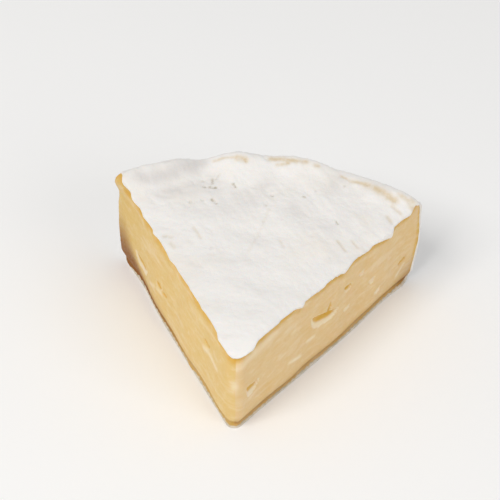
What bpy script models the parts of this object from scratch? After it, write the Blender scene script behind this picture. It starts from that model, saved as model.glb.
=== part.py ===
"""A wedge cut from a small white-mould cheese wheel, resting on its flat base.

Metres, +Z up. The tip of the wedge points to -Y and the round rim lies to +Y. The
origin is on the surface that the wedge rests on, under the middle of its box.
The shape is worked out about the wheel's own centre and moved there at the end.
"""

import math

import bmesh
import bpy
import numpy as np

# The wheel, and how the two knife cuts cross near its middle
WHEEL_RADIUS = 0.0720
WEDGE_ANGLE = math.radians(63.8)
TIP_FROM_CENTRE = (-0.0047, 0.0039)

# Height of the crust's plane at the tip and at the two rim corners
TIP_HEIGHT = 0.0280
LEFT_RIM_HEIGHT = 0.0300
RIGHT_RIM_HEIGHT = 0.0285

# The crust sags at the tip, stands up along the rim and is pressed down beside the knife cuts
TIP_SAG = 0.0019
TIP_SAG_REACH = 0.0070
RIM_RIDGE = 0.0038
RIM_RIDGE_LEAN = 0.0008
RIM_RIDGE_DROOP = 0.0020
RIM_RIDGE_WIDTH = 0.0060
LEFT_PRESS = 0.0007
RIGHT_PRESS = 0.0008
PRESS_REACH = 0.0050
PRESS_START = 0.0150
PRESS_FULL = 0.0350
PRESS_FADE = 0.0060
PRESS_END = 0.0015

# Roundings of the rim
SHOULDER_RADIUS = 0.0052
FOOT_RADIUS = 0.0036
RIM_SWELL = 0.0006

# White rind at the cut faces: it stands a little proud of the paste
RIND_THICKNESS = 0.0006
RIND_PROUD = 0.0002
RIND_EDGE_ROLL = 0.0003
TOOTH_PROUD = 0.0005
TOOTH_HANG = 0.0009

# Paste on the cut faces: a soft belly between two creases under the rinds
BELLY = 0.0004
BELLY_SAG = 0.75
CREASE_TOP = 0.0004
CREASE_FOOT = 0.0006
CREASE_TOP_DROP = 0.0015
CREASE_FOOT_RISE = 0.0018
CREASE_WIDTH = 0.0009
KNIFE_WAVE = 0.00025
KNIFE_WAVE_LENGTH = 0.0190
KNIFE_WAVE_SHIFT = 1.3
KNIFE_WAVE_LEAN = 60.0

# The corner of paste that was squeezed out at the left end of the rim
SQUEEZE_PROUD = 0.0012
SQUEEZE_DROP = 0.0040
SQUEEZE_SPREAD = 0.0026
SQUEEZE_LENGTH = 0.0040

# The soft tip: its upright edge is round, and the foot is drawn in near it
TIP_ROUND = 0.0025
TIP_LEAST_SHARE = 1e-6
DRAW_IN = 0.0004
DRAW_IN_LENGTH = 0.0420
LOW_RISE = 0.0130

# Low on each cut face the outline sways in before the rear corner
SWAY = 0.0006
SWAY_END = 0.0120
SWAY_LENGTH = 0.0080

# How far in from a knife plane its relief still moves the crust and the rim
RELIEF_REACH = 0.0014

# Teeth of torn rind: side, distance of the torn end from the tip, ramp length, share, length of the snap
LEFT = -1
RIGHT = 1
RIND_TEETH = (
    (RIGHT, 0.0056, 0.0030, 0.9, 0.0022),
    (RIGHT, 0.0145, 0.0040, 0.2, 0.0015),
    (RIGHT, 0.0232, 0.0024, 0.9, 0.0016),
    (RIGHT, 0.0315, 0.0040, 0.3, 0.0015),
    (RIGHT, 0.0392, 0.0020, 1.0, 0.0045),
    (RIGHT, 0.0488, 0.0035, 0.4, 0.0020),
    (RIGHT, 0.0572, 0.0065, 1.8, 0.0024),
    (RIGHT, 0.0655, 0.0040, 0.4, 0.0015),
    (LEFT, 0.0070, 0.0035, 0.8, 0.0020),
    (LEFT, 0.0165, 0.0040, 0.2, 0.0015),
    (LEFT, 0.0230, 0.0030, 0.2, 0.0012),
    (LEFT, 0.0345, 0.0030, 0.5, 0.0035),
    (LEFT, 0.0443, 0.0028, 0.6, 0.0010),
    (LEFT, 0.0505, 0.0030, 0.5, 0.0022),
    (LEFT, 0.0575, 0.0035, 0.6, 0.0014),
    (LEFT, 0.0622, 0.0025, 0.6, 0.0012),
)

# Dents and swellings of the crust: x, y, half length, half width, turn in degrees, lift
CRUST_FORMS = (
    (-0.0245, 0.0585, 0.0085, 0.0028, 28.0, -0.0009),
    (-0.0170, 0.0655, 0.0045, 0.0045, 0.0, -0.0026),
    (-0.0100, 0.0668, 0.0060, 0.0048, 0.0, 0.0006),
    (-0.0015, 0.0690, 0.0040, 0.0035, 0.0, -0.0011),
    (0.0165, 0.0670, 0.0042, 0.0040, -15.0, -0.0010),
    (0.0225, 0.0655, 0.0040, 0.0035, -20.0, -0.0006),
    (-0.0360, 0.0590, 0.0050, 0.0045, 30.0, 0.0010),
    (0.0350, 0.0610, 0.0045, 0.0040, -30.0, 0.0008),
    (0.0115, 0.0690, 0.0060, 0.0050, -10.0, 0.0004),
    (-0.0130, 0.0540, 0.0070, 0.0040, 20.0, -0.0004),
    (-0.0060, 0.0420, 0.0090, 0.0050, 50.0, -0.0003),
    (0.0120, 0.0430, 0.0100, 0.0060, -35.0, 0.0003),
)
CRUST_WAVES = (
    (0.00011, 0.0230, 20.0, 0.7),
    (0.00009, 0.0161, 117.0, 2.1),
    (0.00008, 0.0123, 63.0, 4.0),
    (0.00007, 0.0097, 158.0, 5.2),
    (0.00006, 0.0078, 88.0, 1.1),
)

# Eyes in the paste: name, side, distance from the tip, height, length, width, depth, tilt in degrees
EYES = (
    ("eye_great", RIGHT, 0.0333, 0.0154, 0.0104, 0.0030, 0.0022, -19.0),
    ("eye_fork", RIGHT, 0.0345, 0.0170, 0.0040, 0.0013, 0.0012, 68.0),
    ("eye_upper", RIGHT, 0.0421, 0.0186, 0.0030, 0.0017, 0.0012, -4.0),
    ("eye_rear", RIGHT, 0.0658, 0.0103, 0.0034, 0.0014, 0.0012, 18.0),
    ("eye_tip", RIGHT, 0.0067, 0.0122, 0.0046, 0.0026, 0.0014, -3.0),
    ("eye_low", RIGHT, 0.0554, 0.0077, 0.0026, 0.0012, 0.0009, 22.0),
    ("eye_middle", RIGHT, 0.0521, 0.0137, 0.0024, 0.0012, 0.0009, 10.0),
    ("eye_left_slit", LEFT, 0.0527, 0.0096, 0.0078, 0.0026, 0.0012, 5.0),
    ("eye_left_rear", LEFT, 0.0413, 0.0121, 0.0034, 0.0018, 0.0010, 14.0),
    ("eye_left_front", LEFT, 0.0141, 0.0178, 0.0034, 0.0020, 0.0012, 3.0),
)

# Grid: cells across the wedge, and the rows down each wall
CELLS = 54
TOP_ROWS = (0.0, 0.0007, 0.0014, 0.0022, 0.0034)
FOOT_ROWS = (0.0045, 0.0031, 0.0022, 0.0015, 0.0007, 0.0)
MIDDLE_ROWS = 7
EYE_SEGMENTS = 12
EYE_RINGS = 8
WELD_DISTANCE = 0.000002

HALF_ANGLE = WEDGE_ANGLE / 2.0
TIP = np.array(TIP_FROM_CENTRE)
SHOULDER_SHARE = 1.0 - math.sqrt(0.5)


def clear_scene():
    """Remove every object that the file opened with."""
    for obj in list(bpy.data.objects):
        bpy.data.objects.remove(obj, do_unlink=True)


def finish(name, colour, roughness):
    """A plain surface colour for one kind of cheese surface."""
    material = bpy.data.materials.new(name)
    material.use_nodes = True
    shader = material.node_tree.nodes["Principled BSDF"]
    shader.inputs["Base Color"].default_value = (*colour, 1.0)
    shader.inputs["Roughness"].default_value = roughness
    shader.inputs["Metallic"].default_value = 0.0
    return material


def smooth(low, high, value):
    """A soft step from 0 at low to 1 at high."""
    share = np.clip((value - low) / (high - low), 0.0, 1.0)
    return share * share * (3.0 - 2.0 * share)


def bell(value, middle, width):
    """A bell curve of height 1."""
    return np.exp(-(((value - middle) / width) ** 2))


def rim_direction(spread):
    """Unit vectors from the wheel's centre, for spread from -1 (left cut) to 1 (right cut)."""
    angle = spread * HALF_ANGLE
    return np.stack([np.sin(angle), np.cos(angle)], axis=-1)


def cut_direction(side):
    """Unit vector from the tip to the rim corner of one cut."""
    corner = WHEEL_RADIUS * rim_direction(np.float64(side))
    return (corner - TIP) / np.linalg.norm(corner - TIP)


def cut_normal(side):
    """Outward unit normal of one cut."""
    along = cut_direction(side)
    return np.array([along[1], -along[0]]) * side


def crust_height(plan):
    """Crust over a plan point: a plane, sagging tip, raised rim, pressed edges, dents and waves."""
    left = WHEEL_RADIUS * rim_direction(-1.0)
    right = WHEEL_RADIUS * rim_direction(1.0)
    corners = np.array([[*TIP, 1.0], [*left, 1.0], [*right, 1.0]])
    slope = np.linalg.solve(corners, [TIP_HEIGHT, LEFT_RIM_HEIGHT, RIGHT_RIM_HEIGHT])
    x, y = plan[..., 0], plan[..., 1]
    height = slope[0] * x + slope[1] * y + slope[2]
    height = height - TIP_SAG * bell(np.linalg.norm(plan - TIP, axis=-1), 0.0, TIP_SAG_REACH)
    spread = np.clip(np.arctan2(x, y) / HALF_ANGLE, -1.0, 1.0)
    depth = WHEEL_RADIUS - np.linalg.norm(plan, axis=-1)
    ridge = RIM_RIDGE - RIM_RIDGE_LEAN * spread - RIM_RIDGE_DROOP * spread**2
    height = height + ridge * bell(depth, 0.0, RIM_RIDGE_WIDTH)
    for side, press in ((LEFT, LEFT_PRESS), (RIGHT, RIGHT_PRESS)):
        length = np.linalg.norm(WHEEL_RADIUS * rim_direction(np.float64(side)) - TIP)
        along = (plan - TIP) @ cut_direction(side)
        inward = (plan - TIP) @ cut_normal(side)
        fade = 1.0 - smooth(length - PRESS_FADE, length - PRESS_END, along)
        beside = bell(inward, 0.0, PRESS_REACH) * smooth(PRESS_START, PRESS_FULL, along)
        height = height - press * beside * fade
    for centre_x, centre_y, half_length, half_width, turn, lift in CRUST_FORMS:
        angle = math.radians(turn)
        over = math.cos(angle) * (x - centre_x) + math.sin(angle) * (y - centre_y)
        across = math.cos(angle) * (y - centre_y) - math.sin(angle) * (x - centre_x)
        height = height + lift * bell(over, 0.0, half_length) * bell(across, 0.0, half_width)
    for size, length, heading, phase in CRUST_WAVES:
        angle = math.radians(heading)
        distance = math.cos(angle) * x + math.sin(angle) * y
        height = height + size * np.sin(2.0 * math.pi * distance / length + phase)
    return height


def rim_inset(drop, rise):
    """How far the rim lies inside the wheel's radius: quarter rounds above and below, swell between."""
    above = np.clip(SHOULDER_RADIUS - drop, 0.0, SHOULDER_RADIUS)
    below = np.clip(FOOT_RADIUS - rise, 0.0, FOOT_RADIUS)
    shoulder = SHOULDER_RADIUS - np.sqrt(SHOULDER_RADIUS**2 - above**2)
    foot = FOOT_RADIUS - np.sqrt(FOOT_RADIUS**2 - below**2)
    flat = np.maximum(drop + rise - SHOULDER_RADIUS - FOOT_RADIUS, FOOT_RADIUS)
    share = np.clip((rise - FOOT_RADIUS) / flat, 0.0, 1.0)
    swell = RIM_SWELL * np.sin(math.pi * share) ** 2
    return shoulder + foot - swell


def torn_teeth(side, along):
    """Teeth of the torn rind, 0 to 1: each ramps up along the cut and snaps back."""
    teeth = np.zeros_like(along)
    for tooth_side, end, ramp, share, snap in RIND_TEETH:
        if tooth_side != side:
            continue
        rising = np.clip((along - (end - ramp)) / ramp, 0.0, 1.0)
        snapping = 1.0 - smooth(end, end + snap, along)
        teeth = teeth + share * rising * snapping
    return teeth


def face_relief(side, along, drop, rise):
    """Outward relief of one cut face, from the rind's lip at the top to the rind under the foot."""
    length = np.linalg.norm(WHEEL_RADIUS * rim_direction(np.float64(side)) - TIP)
    share = np.clip(rise / (drop + rise), 0.0, 1.0)
    body = np.sin(math.pi * share**BELLY_SAG)
    teeth = torn_teeth(side, along)
    hang = RIND_THICKNESS + TOOTH_HANG * teeth
    crease_drop = CREASE_TOP_DROP + TOOTH_HANG * teeth
    lip = (RIND_PROUD + TOOTH_PROUD * teeth) * (1.0 - smooth(hang, crease_drop, drop))
    upper_crease = CREASE_TOP * bell(drop, crease_drop, CREASE_WIDTH)
    lower_crease = CREASE_FOOT * bell(rise, CREASE_FOOT_RISE, CREASE_WIDTH)
    phase = KNIFE_WAVE_SHIFT * side + KNIFE_WAVE_LEAN * rise
    wave = np.sin(2.0 * math.pi * along / KNIFE_WAVE_LENGTH + phase)
    low = 1.0 - smooth(0.0, LOW_RISE, rise)
    draw_in = DRAW_IN * low * (1.0 - smooth(0.0, DRAW_IN_LENGTH, along))
    sway = SWAY * low * bell(along, length - SWAY_END, SWAY_LENGTH)
    relief = lip - upper_crease - lower_crease - draw_in - sway
    relief = relief + BELLY * body + KNIFE_WAVE * wave * body
    if side == LEFT:
        squeeze = bell(along, length, SQUEEZE_LENGTH) * bell(drop, SQUEEZE_DROP, SQUEEZE_SPREAD)
        relief = relief + SQUEEZE_PROUD * squeeze
    return relief


def round_tip(plan):
    """Plan points with the wedge's sharp tip bent to an arc that both cuts run into."""
    middle = cut_direction(LEFT) + cut_direction(RIGHT)
    middle = middle / np.linalg.norm(middle)
    across = np.array([middle[1], -middle[0]])
    half = math.acos(float(middle @ cut_direction(RIGHT)))
    run = (plan - TIP) @ middle
    tangent = TIP_ROUND / math.tan(half) * math.cos(half)
    turn = np.clip(run / tangent, TIP_LEAST_SHARE, 1.0) * (math.pi / 2.0 - half)
    near = run < tangent
    new_run = np.where(near, TIP_ROUND / math.sin(half) - TIP_ROUND * np.cos(turn), run)
    straight = np.clip(run, tangent * TIP_LEAST_SHARE, tangent) * math.tan(half)
    squeeze = np.where(near, TIP_ROUND * np.sin(turn) / straight, 1.0)
    sideways = ((plan - TIP) @ across) * squeeze
    return TIP + new_run[..., None] * middle + sideways[..., None] * across


def place(plan, height, crown):
    """Points of the outer surface: plan points moved by the relief of both cut faces, and heights."""
    moved = round_tip(plan)
    drop = np.maximum(crown - height, 0.0)
    roll = np.zeros_like(height)
    for side in (LEFT, RIGHT):
        normal = cut_normal(side)
        inward = np.maximum(-(plan - TIP) @ normal, 0.0)
        weight = bell(inward, 0.0, RELIEF_REACH)
        along = (plan - TIP) @ cut_direction(side)
        relief = face_relief(side, along, drop, height)
        moved = moved + (relief * weight)[..., None] * normal
        roll = np.maximum(roll, weight)
    # The rolled edge takes nothing off the base, so that the base stays flat.
    lowered = height - RIND_EDGE_ROLL * roll * (1.0 - smooth(0.0, RIND_THICKNESS, drop))
    return np.concatenate([moved, lowered[..., None]], axis=-1)


def rim_plan(spread, drop, rise):
    """Plan points on the rim wall."""
    radius = WHEEL_RADIUS - rim_inset(drop, rise)
    return radius[..., None] * rim_direction(spread)


def rim_crown(spread):
    """Height of the crust at the rim, before the shoulder rounds it down."""
    edge = (WHEEL_RADIUS - SHOULDER_SHARE * SHOULDER_RADIUS) * rim_direction(spread)
    return crust_height(edge)


def shoulder_fall(plan):
    """How far the crust has rounded down towards the rim."""
    depth = WHEEL_RADIUS - np.linalg.norm(plan, axis=-1)
    inside = np.clip(SHOULDER_RADIUS - depth, 0.0, SHOULDER_RADIUS * math.sqrt(0.5))
    return SHOULDER_RADIUS - np.sqrt(SHOULDER_RADIUS**2 - inside**2)


def row_heights(top):
    """Heights of the wall rows under each top height: fine at the rinds, even between."""
    upper = top[..., None] - np.array(TOP_ROWS)
    lower = np.broadcast_to(np.array(FOOT_ROWS), (*top.shape, len(FOOT_ROWS)))
    share = np.arange(1, MIDDLE_ROWS + 1) / (MIDDLE_ROWS + 1)
    middle = upper[..., -1:] + (lower[..., :1] - upper[..., -1:]) * share
    return np.concatenate([upper, middle, lower], axis=-1)


def crust_points():
    """The crust as a triangle of rows: row i holds i + 1 points, from the left cut to the right."""
    rows = np.concatenate([np.full(i + 1, i) for i in range(CELLS + 1)])
    columns = np.concatenate([np.arange(i + 1) for i in range(CELLS + 1)])
    spread = np.where(rows > 0, -1.0 + 2.0 * columns / np.maximum(rows, 1), 0.0)
    edge = (WHEEL_RADIUS - SHOULDER_SHARE * SHOULDER_RADIUS) * rim_direction(spread)
    plan = TIP + (rows / CELLS)[:, None] * (edge - TIP)
    height = crust_height(plan) - shoulder_fall(plan)
    return place(plan, height, height)


def crust_faces():
    """Triangles of the crust, seen from above in the order that faces up."""
    faces = []
    for i in range(CELLS):
        start = i * (i + 1) // 2
        after = start + i + 1
        for j in range(i + 1):
            faces.append((start + j, after + j + 1, after + j))
        for j in range(i):
            faces.append((start + j, start + j + 1, after + j + 1))
    return faces


def rim_points():
    """The rim wall: a column for each rim point of the crust, from the left cut to the right."""
    spread = np.linspace(-1.0, 1.0, CELLS + 1)
    crown = rim_crown(spread)
    top = crown - SHOULDER_SHARE * SHOULDER_RADIUS
    height = row_heights(top)
    drop = crown[:, None] - height
    plan = rim_plan(spread[:, None] + 0.0 * height, drop, height)
    return place(plan, height, np.broadcast_to(top[:, None], height.shape))


def cut_points(side):
    """A cut face: columns from the tip to the rim, each a share of the way to the rim's own column."""
    share = np.linspace(0.0, 1.0, CELLS + 1)
    corner_crown = rim_crown(np.float64(side))
    corner_top = corner_crown - SHOULDER_SHARE * SHOULDER_RADIUS
    corner_height = row_heights(np.array([corner_top]))[0]
    corner_spread = np.full_like(corner_height, float(side))
    corner = rim_plan(corner_spread, corner_crown - corner_height, corner_height)
    edge = TIP + share[:, None] * (corner[0] - TIP)
    top = crust_height(edge) - shoulder_fall(edge)
    height = row_heights(top)
    plan = TIP + share[:, None, None] * (corner[None, :, :] - TIP)
    return place(plan, height, np.broadcast_to(top[:, None], height.shape))


def wall_faces(columns, rows, flip):
    """Two triangles for each cell of a wall grid."""
    faces = []
    for i in range(columns - 1):
        for k in range(rows - 1):
            a, b = i * rows + k, (i + 1) * rows + k
            first, second = (a, b, b + 1), (a, b + 1, a + 1)
            faces += [first[::-1], second[::-1]] if flip else [first, second]
    return faces


def wedge_mesh(rind_index, paste_index):
    """The closed outer skin: crust, rim, both cut faces and a flat base."""
    mesh = bpy.data.meshes.new("brie_wedge")
    bm = bmesh.new()

    def add(points, faces, material_index):
        verts = [bm.verts.new(point) for point in points.reshape(-1, 3)]
        for face in faces:
            if len({tuple(verts[i].co) for i in face}) == 3:
                bm.faces.new([verts[i] for i in face]).material_index = material_index

    rows = len(TOP_ROWS) + MIDDLE_ROWS + len(FOOT_ROWS)
    add(crust_points(), crust_faces(), rind_index)
    add(rim_points(), wall_faces(CELLS + 1, rows, True), rind_index)
    add(cut_points(LEFT), wall_faces(CELLS + 1, rows, False), paste_index)
    add(cut_points(RIGHT), wall_faces(CELLS + 1, rows, True), paste_index)
    bmesh.ops.remove_doubles(bm, verts=bm.verts, dist=WELD_DISTANCE)
    border = [edge for edge in bm.edges if edge.is_boundary]
    base = bmesh.ops.contextual_create(bm, geom=border)["faces"]
    for face in base:
        face.material_index = rind_index
    bmesh.ops.recalc_face_normals(bm, faces=bm.faces)
    bmesh.ops.triangulate(bm, faces=base)
    bm.to_mesh(mesh)
    bm.free()
    return mesh


def move_to_origin(mesh):
    """Centre the mesh's box over the origin, with its base at height 0, and return the move."""
    points = np.array([vert.co for vert in mesh.vertices])
    low, high = points.min(axis=0), points.max(axis=0)
    shift = np.array([-(low[0] + high[0]) / 2.0, -(low[1] + high[1]) / 2.0, -low[2]])
    for vert in mesh.vertices:
        vert.co = vert.co + type(vert.co)(shift)
    return shift


def eye_cutter(eye, shift, paste):
    """A flattened ball half sunk in a cut face, turned to lie along it."""
    name, side, along, height, length, width, depth, tilt = eye
    direction, normal = cut_direction(side), cut_normal(side)
    plan = TIP + along * direction
    drop = crust_height(plan) - height
    relief = float(face_relief(side, np.float64(along), drop, np.float64(height)))
    centre = np.array([*(plan + relief * normal), height]) + shift
    mesh = bpy.data.meshes.new(name)
    bm = bmesh.new()
    bmesh.ops.create_uvsphere(bm, u_segments=EYE_SEGMENTS, v_segments=EYE_RINGS, radius=1.0)
    lean = math.radians(tilt)
    for vert in bm.verts:
        over = vert.co.x * length / 2.0
        up = vert.co.z * width / 2.0
        run = over * math.cos(lean) - up * math.sin(lean)
        rise = over * math.sin(lean) + up * math.cos(lean)
        out = -side * vert.co.y * depth
        x, y = run * direction + out * normal
        vert.co = (centre[0] + x, centre[1] + y, centre[2] + rise)
    bm.to_mesh(mesh)
    bm.free()
    mesh.materials.append(paste)
    cutter = bpy.data.objects.new(name, mesh)
    cutter.display_type = "WIRE"
    cutter.hide_render = True
    return cutter


def build_wedge():
    """The wedge as one solid, with its eyes cut into the paste."""
    paste = finish("paste", (0.78, 0.58, 0.31), 0.45)
    rind = finish("rind", (0.86, 0.83, 0.79), 0.85)
    mesh = wedge_mesh(rind_index=1, paste_index=0)
    shift = move_to_origin(mesh)
    mesh.materials.append(paste)
    mesh.materials.append(rind)
    wedge = bpy.data.objects.new("brie_wedge", mesh)
    bpy.context.scene.collection.objects.link(wedge)

    cutters = bpy.data.collections.new("eye_cutters")
    bpy.context.scene.collection.children.link(cutters)
    cutters.hide_render = True
    for eye in EYES:
        cutters.objects.link(eye_cutter(eye, shift, paste))
    cut = wedge.modifiers.new("eyes", "BOOLEAN")
    cut.operation = "DIFFERENCE"
    cut.operand_type = "COLLECTION"
    cut.collection = cutters
    cut.solver = "EXACT"
    return wedge


def main():
    """Clear the file and build the wedge."""
    clear_scene()
    build_wedge()


main()
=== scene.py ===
"""Looks of a wedge cut from a small white-mould cheese wheel.

Shapes are worked out about the wheel's own centre, in metres, with +Z up and the tip of the
wedge towards -Y. Each finished mesh is then moved by WHEEL_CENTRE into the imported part's frame.
"""

import logging
import math
from collections.abc import Callable
from dataclasses import dataclass
from enum import Enum, IntEnum

import bpy
import numpy as np
from mathutils import Matrix, Vector


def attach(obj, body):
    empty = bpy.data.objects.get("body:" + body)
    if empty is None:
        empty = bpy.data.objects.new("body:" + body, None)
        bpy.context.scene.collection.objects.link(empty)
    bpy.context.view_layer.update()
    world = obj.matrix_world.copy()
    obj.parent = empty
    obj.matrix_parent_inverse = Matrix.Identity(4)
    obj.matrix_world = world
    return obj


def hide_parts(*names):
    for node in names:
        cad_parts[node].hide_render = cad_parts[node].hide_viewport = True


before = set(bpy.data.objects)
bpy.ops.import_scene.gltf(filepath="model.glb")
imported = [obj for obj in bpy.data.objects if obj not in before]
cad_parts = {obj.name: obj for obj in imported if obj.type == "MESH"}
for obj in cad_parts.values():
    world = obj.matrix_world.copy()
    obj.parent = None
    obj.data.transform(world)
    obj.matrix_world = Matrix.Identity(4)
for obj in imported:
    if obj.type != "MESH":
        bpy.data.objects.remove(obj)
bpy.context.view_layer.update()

LOG = logging.getLogger("wedge")
NODE = "brie_wedge"
BODY = "root"
# Skin whose outward normal points lower than this is the base
BASE_OUT_UP = -0.5
WHEEL_CENTRE = (0.0001441, -0.0390216, 0.0)

# Large odd numbers that mix the cells of the noise, and the word that holds the result
CELL_FACTORS = np.array([374761393, 668265263, 1103515245])
SEED_FACTOR = 974711
MIX_FACTOR = 1274126177
WORD = 0xFFFFFFFF


class Side(IntEnum):
    """The two knife cuts, as seen from the tip."""

    LEFT = -1
    RIGHT = 1


class Seed(IntEnum):
    """Starting numbers of the noises, one for each kind of relief."""

    BROAD_FELT = 11
    FLAKES = 23
    CHIPS = 29
    GRAINS = 37
    TATTERS = 52
    TEAR = 57
    FRILL_SWAY = 61
    FRILL_SIZE = 62
    LUMPS = 71
    DRAG = 83


class Step(Enum):
    """Ways to join two numbers in a material."""

    ADD = "ADD"
    MULTIPLY = "MULTIPLY"
    MINIMUM = "MINIMUM"


def smooth(low: float | np.ndarray, high: float | np.ndarray, value: np.ndarray) -> np.ndarray:
    """A soft step from 0 at low to 1 at high: t squared times (3 - 2t)."""
    share = np.clip((value - low) / (high - low), 0.0, 1.0)
    return share * share * (3.0 - 2.0 * share)


def bell(value: np.ndarray, middle: float | np.ndarray, width: float) -> np.ndarray:
    """A bell curve of height 1: e to the power of minus the squared distance in widths."""
    return np.exp(-(((value - middle) / width) ** 2))


def turned(points: np.ndarray, degrees: float) -> tuple[np.ndarray, np.ndarray]:
    """Distances of flat points along and across a heading in degrees.

    Args:
        points: array of flat points, the last axis holding x and y.
        degrees: heading, counted from +X towards +Y.

    Returns:
        The distances along the heading, and the distances across it.
    """
    angle = math.radians(degrees)
    along = math.cos(angle) * points[..., 0] + math.sin(angle) * points[..., 1]
    across = math.cos(angle) * points[..., 1] - math.sin(angle) * points[..., 0]
    return along, across


def cut_line(side: Side, along: np.ndarray, offset: float) -> np.ndarray:
    """Places for a noise along one cut, set apart from the other cut's by an offset.

    Args:
        side: which cut.
        along: distances from the tip.
        offset: how far the line lies from the middle.

    Returns:
        Places, three numbers to a row.
    """
    return np.column_stack([along, np.full_like(along, offset * float(side)), np.zeros_like(along)])


@dataclass(frozen=True)
class Grain:
    """Smooth random relief that is the same on every run."""

    seed: int
    gain: float = 1.6
    terrace_layers: int = 3
    terrace_edge: float = 0.3

    def slopes(self, cells: np.ndarray) -> np.ndarray:
        """Random unit vectors: the whole numbers are mixed by multiplying and shifting.

        The lower half of the mixed bits gives a vector's height, and the upper half its turn.

        Args:
            cells: whole numbers, three to a row.

        Returns:
            A unit vector for each row.
        """
        mixed = (cells * CELL_FACTORS).sum(axis=1)
        mixed = (mixed + self.seed * SEED_FACTOR) & WORD
        mixed = ((mixed ^ (mixed >> 13)) * MIX_FACTOR) & WORD
        mixed = mixed ^ (mixed >> 16)
        up = (mixed & 0xFFFF) / 32768.0 - 1.0
        turn = (mixed >> 16) / 65536.0 * 2.0 * math.pi
        flat = np.sqrt(np.maximum(1.0 - up * up, 0.0))
        return np.stack([flat * np.cos(turn), flat * np.sin(turn), up], axis=1)

    def noise(self, points: np.ndarray, size: float) -> np.ndarray:
        """Gradient noise: slopes at the corners of a cell, blended by a soft step of the fifth power.

        Args:
            points: places, three numbers to a row, in metres.
            size: length of a cell in metres.

        Returns:
            A value of about -1 to 1 for each place.
        """
        scaled = points / size
        cell = np.floor(scaled).astype(np.int64)
        rest = scaled - cell
        ease = rest**3 * (rest * (rest * 6.0 - 15.0) + 10.0)
        total = np.zeros(len(points))
        for corner in np.ndindex(2, 2, 2):
            step = np.array(corner)
            rise = ((rest - step) * self.slopes(cell + step)).sum(axis=1)
            total += rise * np.prod(np.where(step == 1, ease, 1.0 - ease), axis=1)
        return total * self.gain

    def cloud(self, points: np.ndarray, size: float, layers: int) -> np.ndarray:
        """Noise in layers, each half as long and half as high as the one before.

        Args:
            points: places, three numbers to a row.
            size: length of the first layer's cells.
            layers: how many layers there are.

        Returns:
            The height at each place.
        """
        total = np.zeros(len(points))
        for layer in range(layers):
            total += Grain(self.seed + layer).noise(points, size / 2.0**layer) / 2.0**layer
        return total

    def flakes(self, points: np.ndarray, size: float, steps: float) -> np.ndarray:
        """Terraces: a cloud is cut into steps, each with a short steep edge and a flat top.

        Args:
            points: places, three numbers to a row.
            size: length of the cloud's largest cells.
            steps: steps for each unit of height.

        Returns:
            The height at each place.
        """
        level = self.cloud(points, size, self.terrace_layers) * steps
        whole = np.floor(level)
        return (whole + smooth(0.0, self.terrace_edge, level - whole)) / steps


@dataclass(frozen=True)
class Mark:
    """A soft stroke on the crust between two points, with its half width and strength."""

    start: tuple[float, float]
    end: tuple[float, float]
    width: float
    strength: float = 1.0

    def weight(self, plan: np.ndarray) -> np.ndarray:
        """Bell of the distance to the stroke's middle line, times the strength.

        Args:
            plan: flat points.

        Returns:
            The stroke's weight at each point.
        """
        start, end = np.array(self.start), np.array(self.end)
        run = end - start
        share = np.clip((plan - start) @ run / max(float(run @ run), 1e-12), 0.0, 1.0)
        distance = np.linalg.norm(plan - start - share[:, None] * run, axis=1)
        return self.strength * bell(distance, 0.0, self.width)


def marked(marks: tuple[Mark, ...], plan: np.ndarray) -> np.ndarray:
    """The strongest of several marks at each flat point.

    Args:
        marks: the strokes.
        plan: flat points.

    Returns:
        The largest weight at each point, or 0.
    """
    total = np.zeros(len(plan))
    for mark in marks:
        total = np.maximum(total, mark.weight(plan))
    return total


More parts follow.
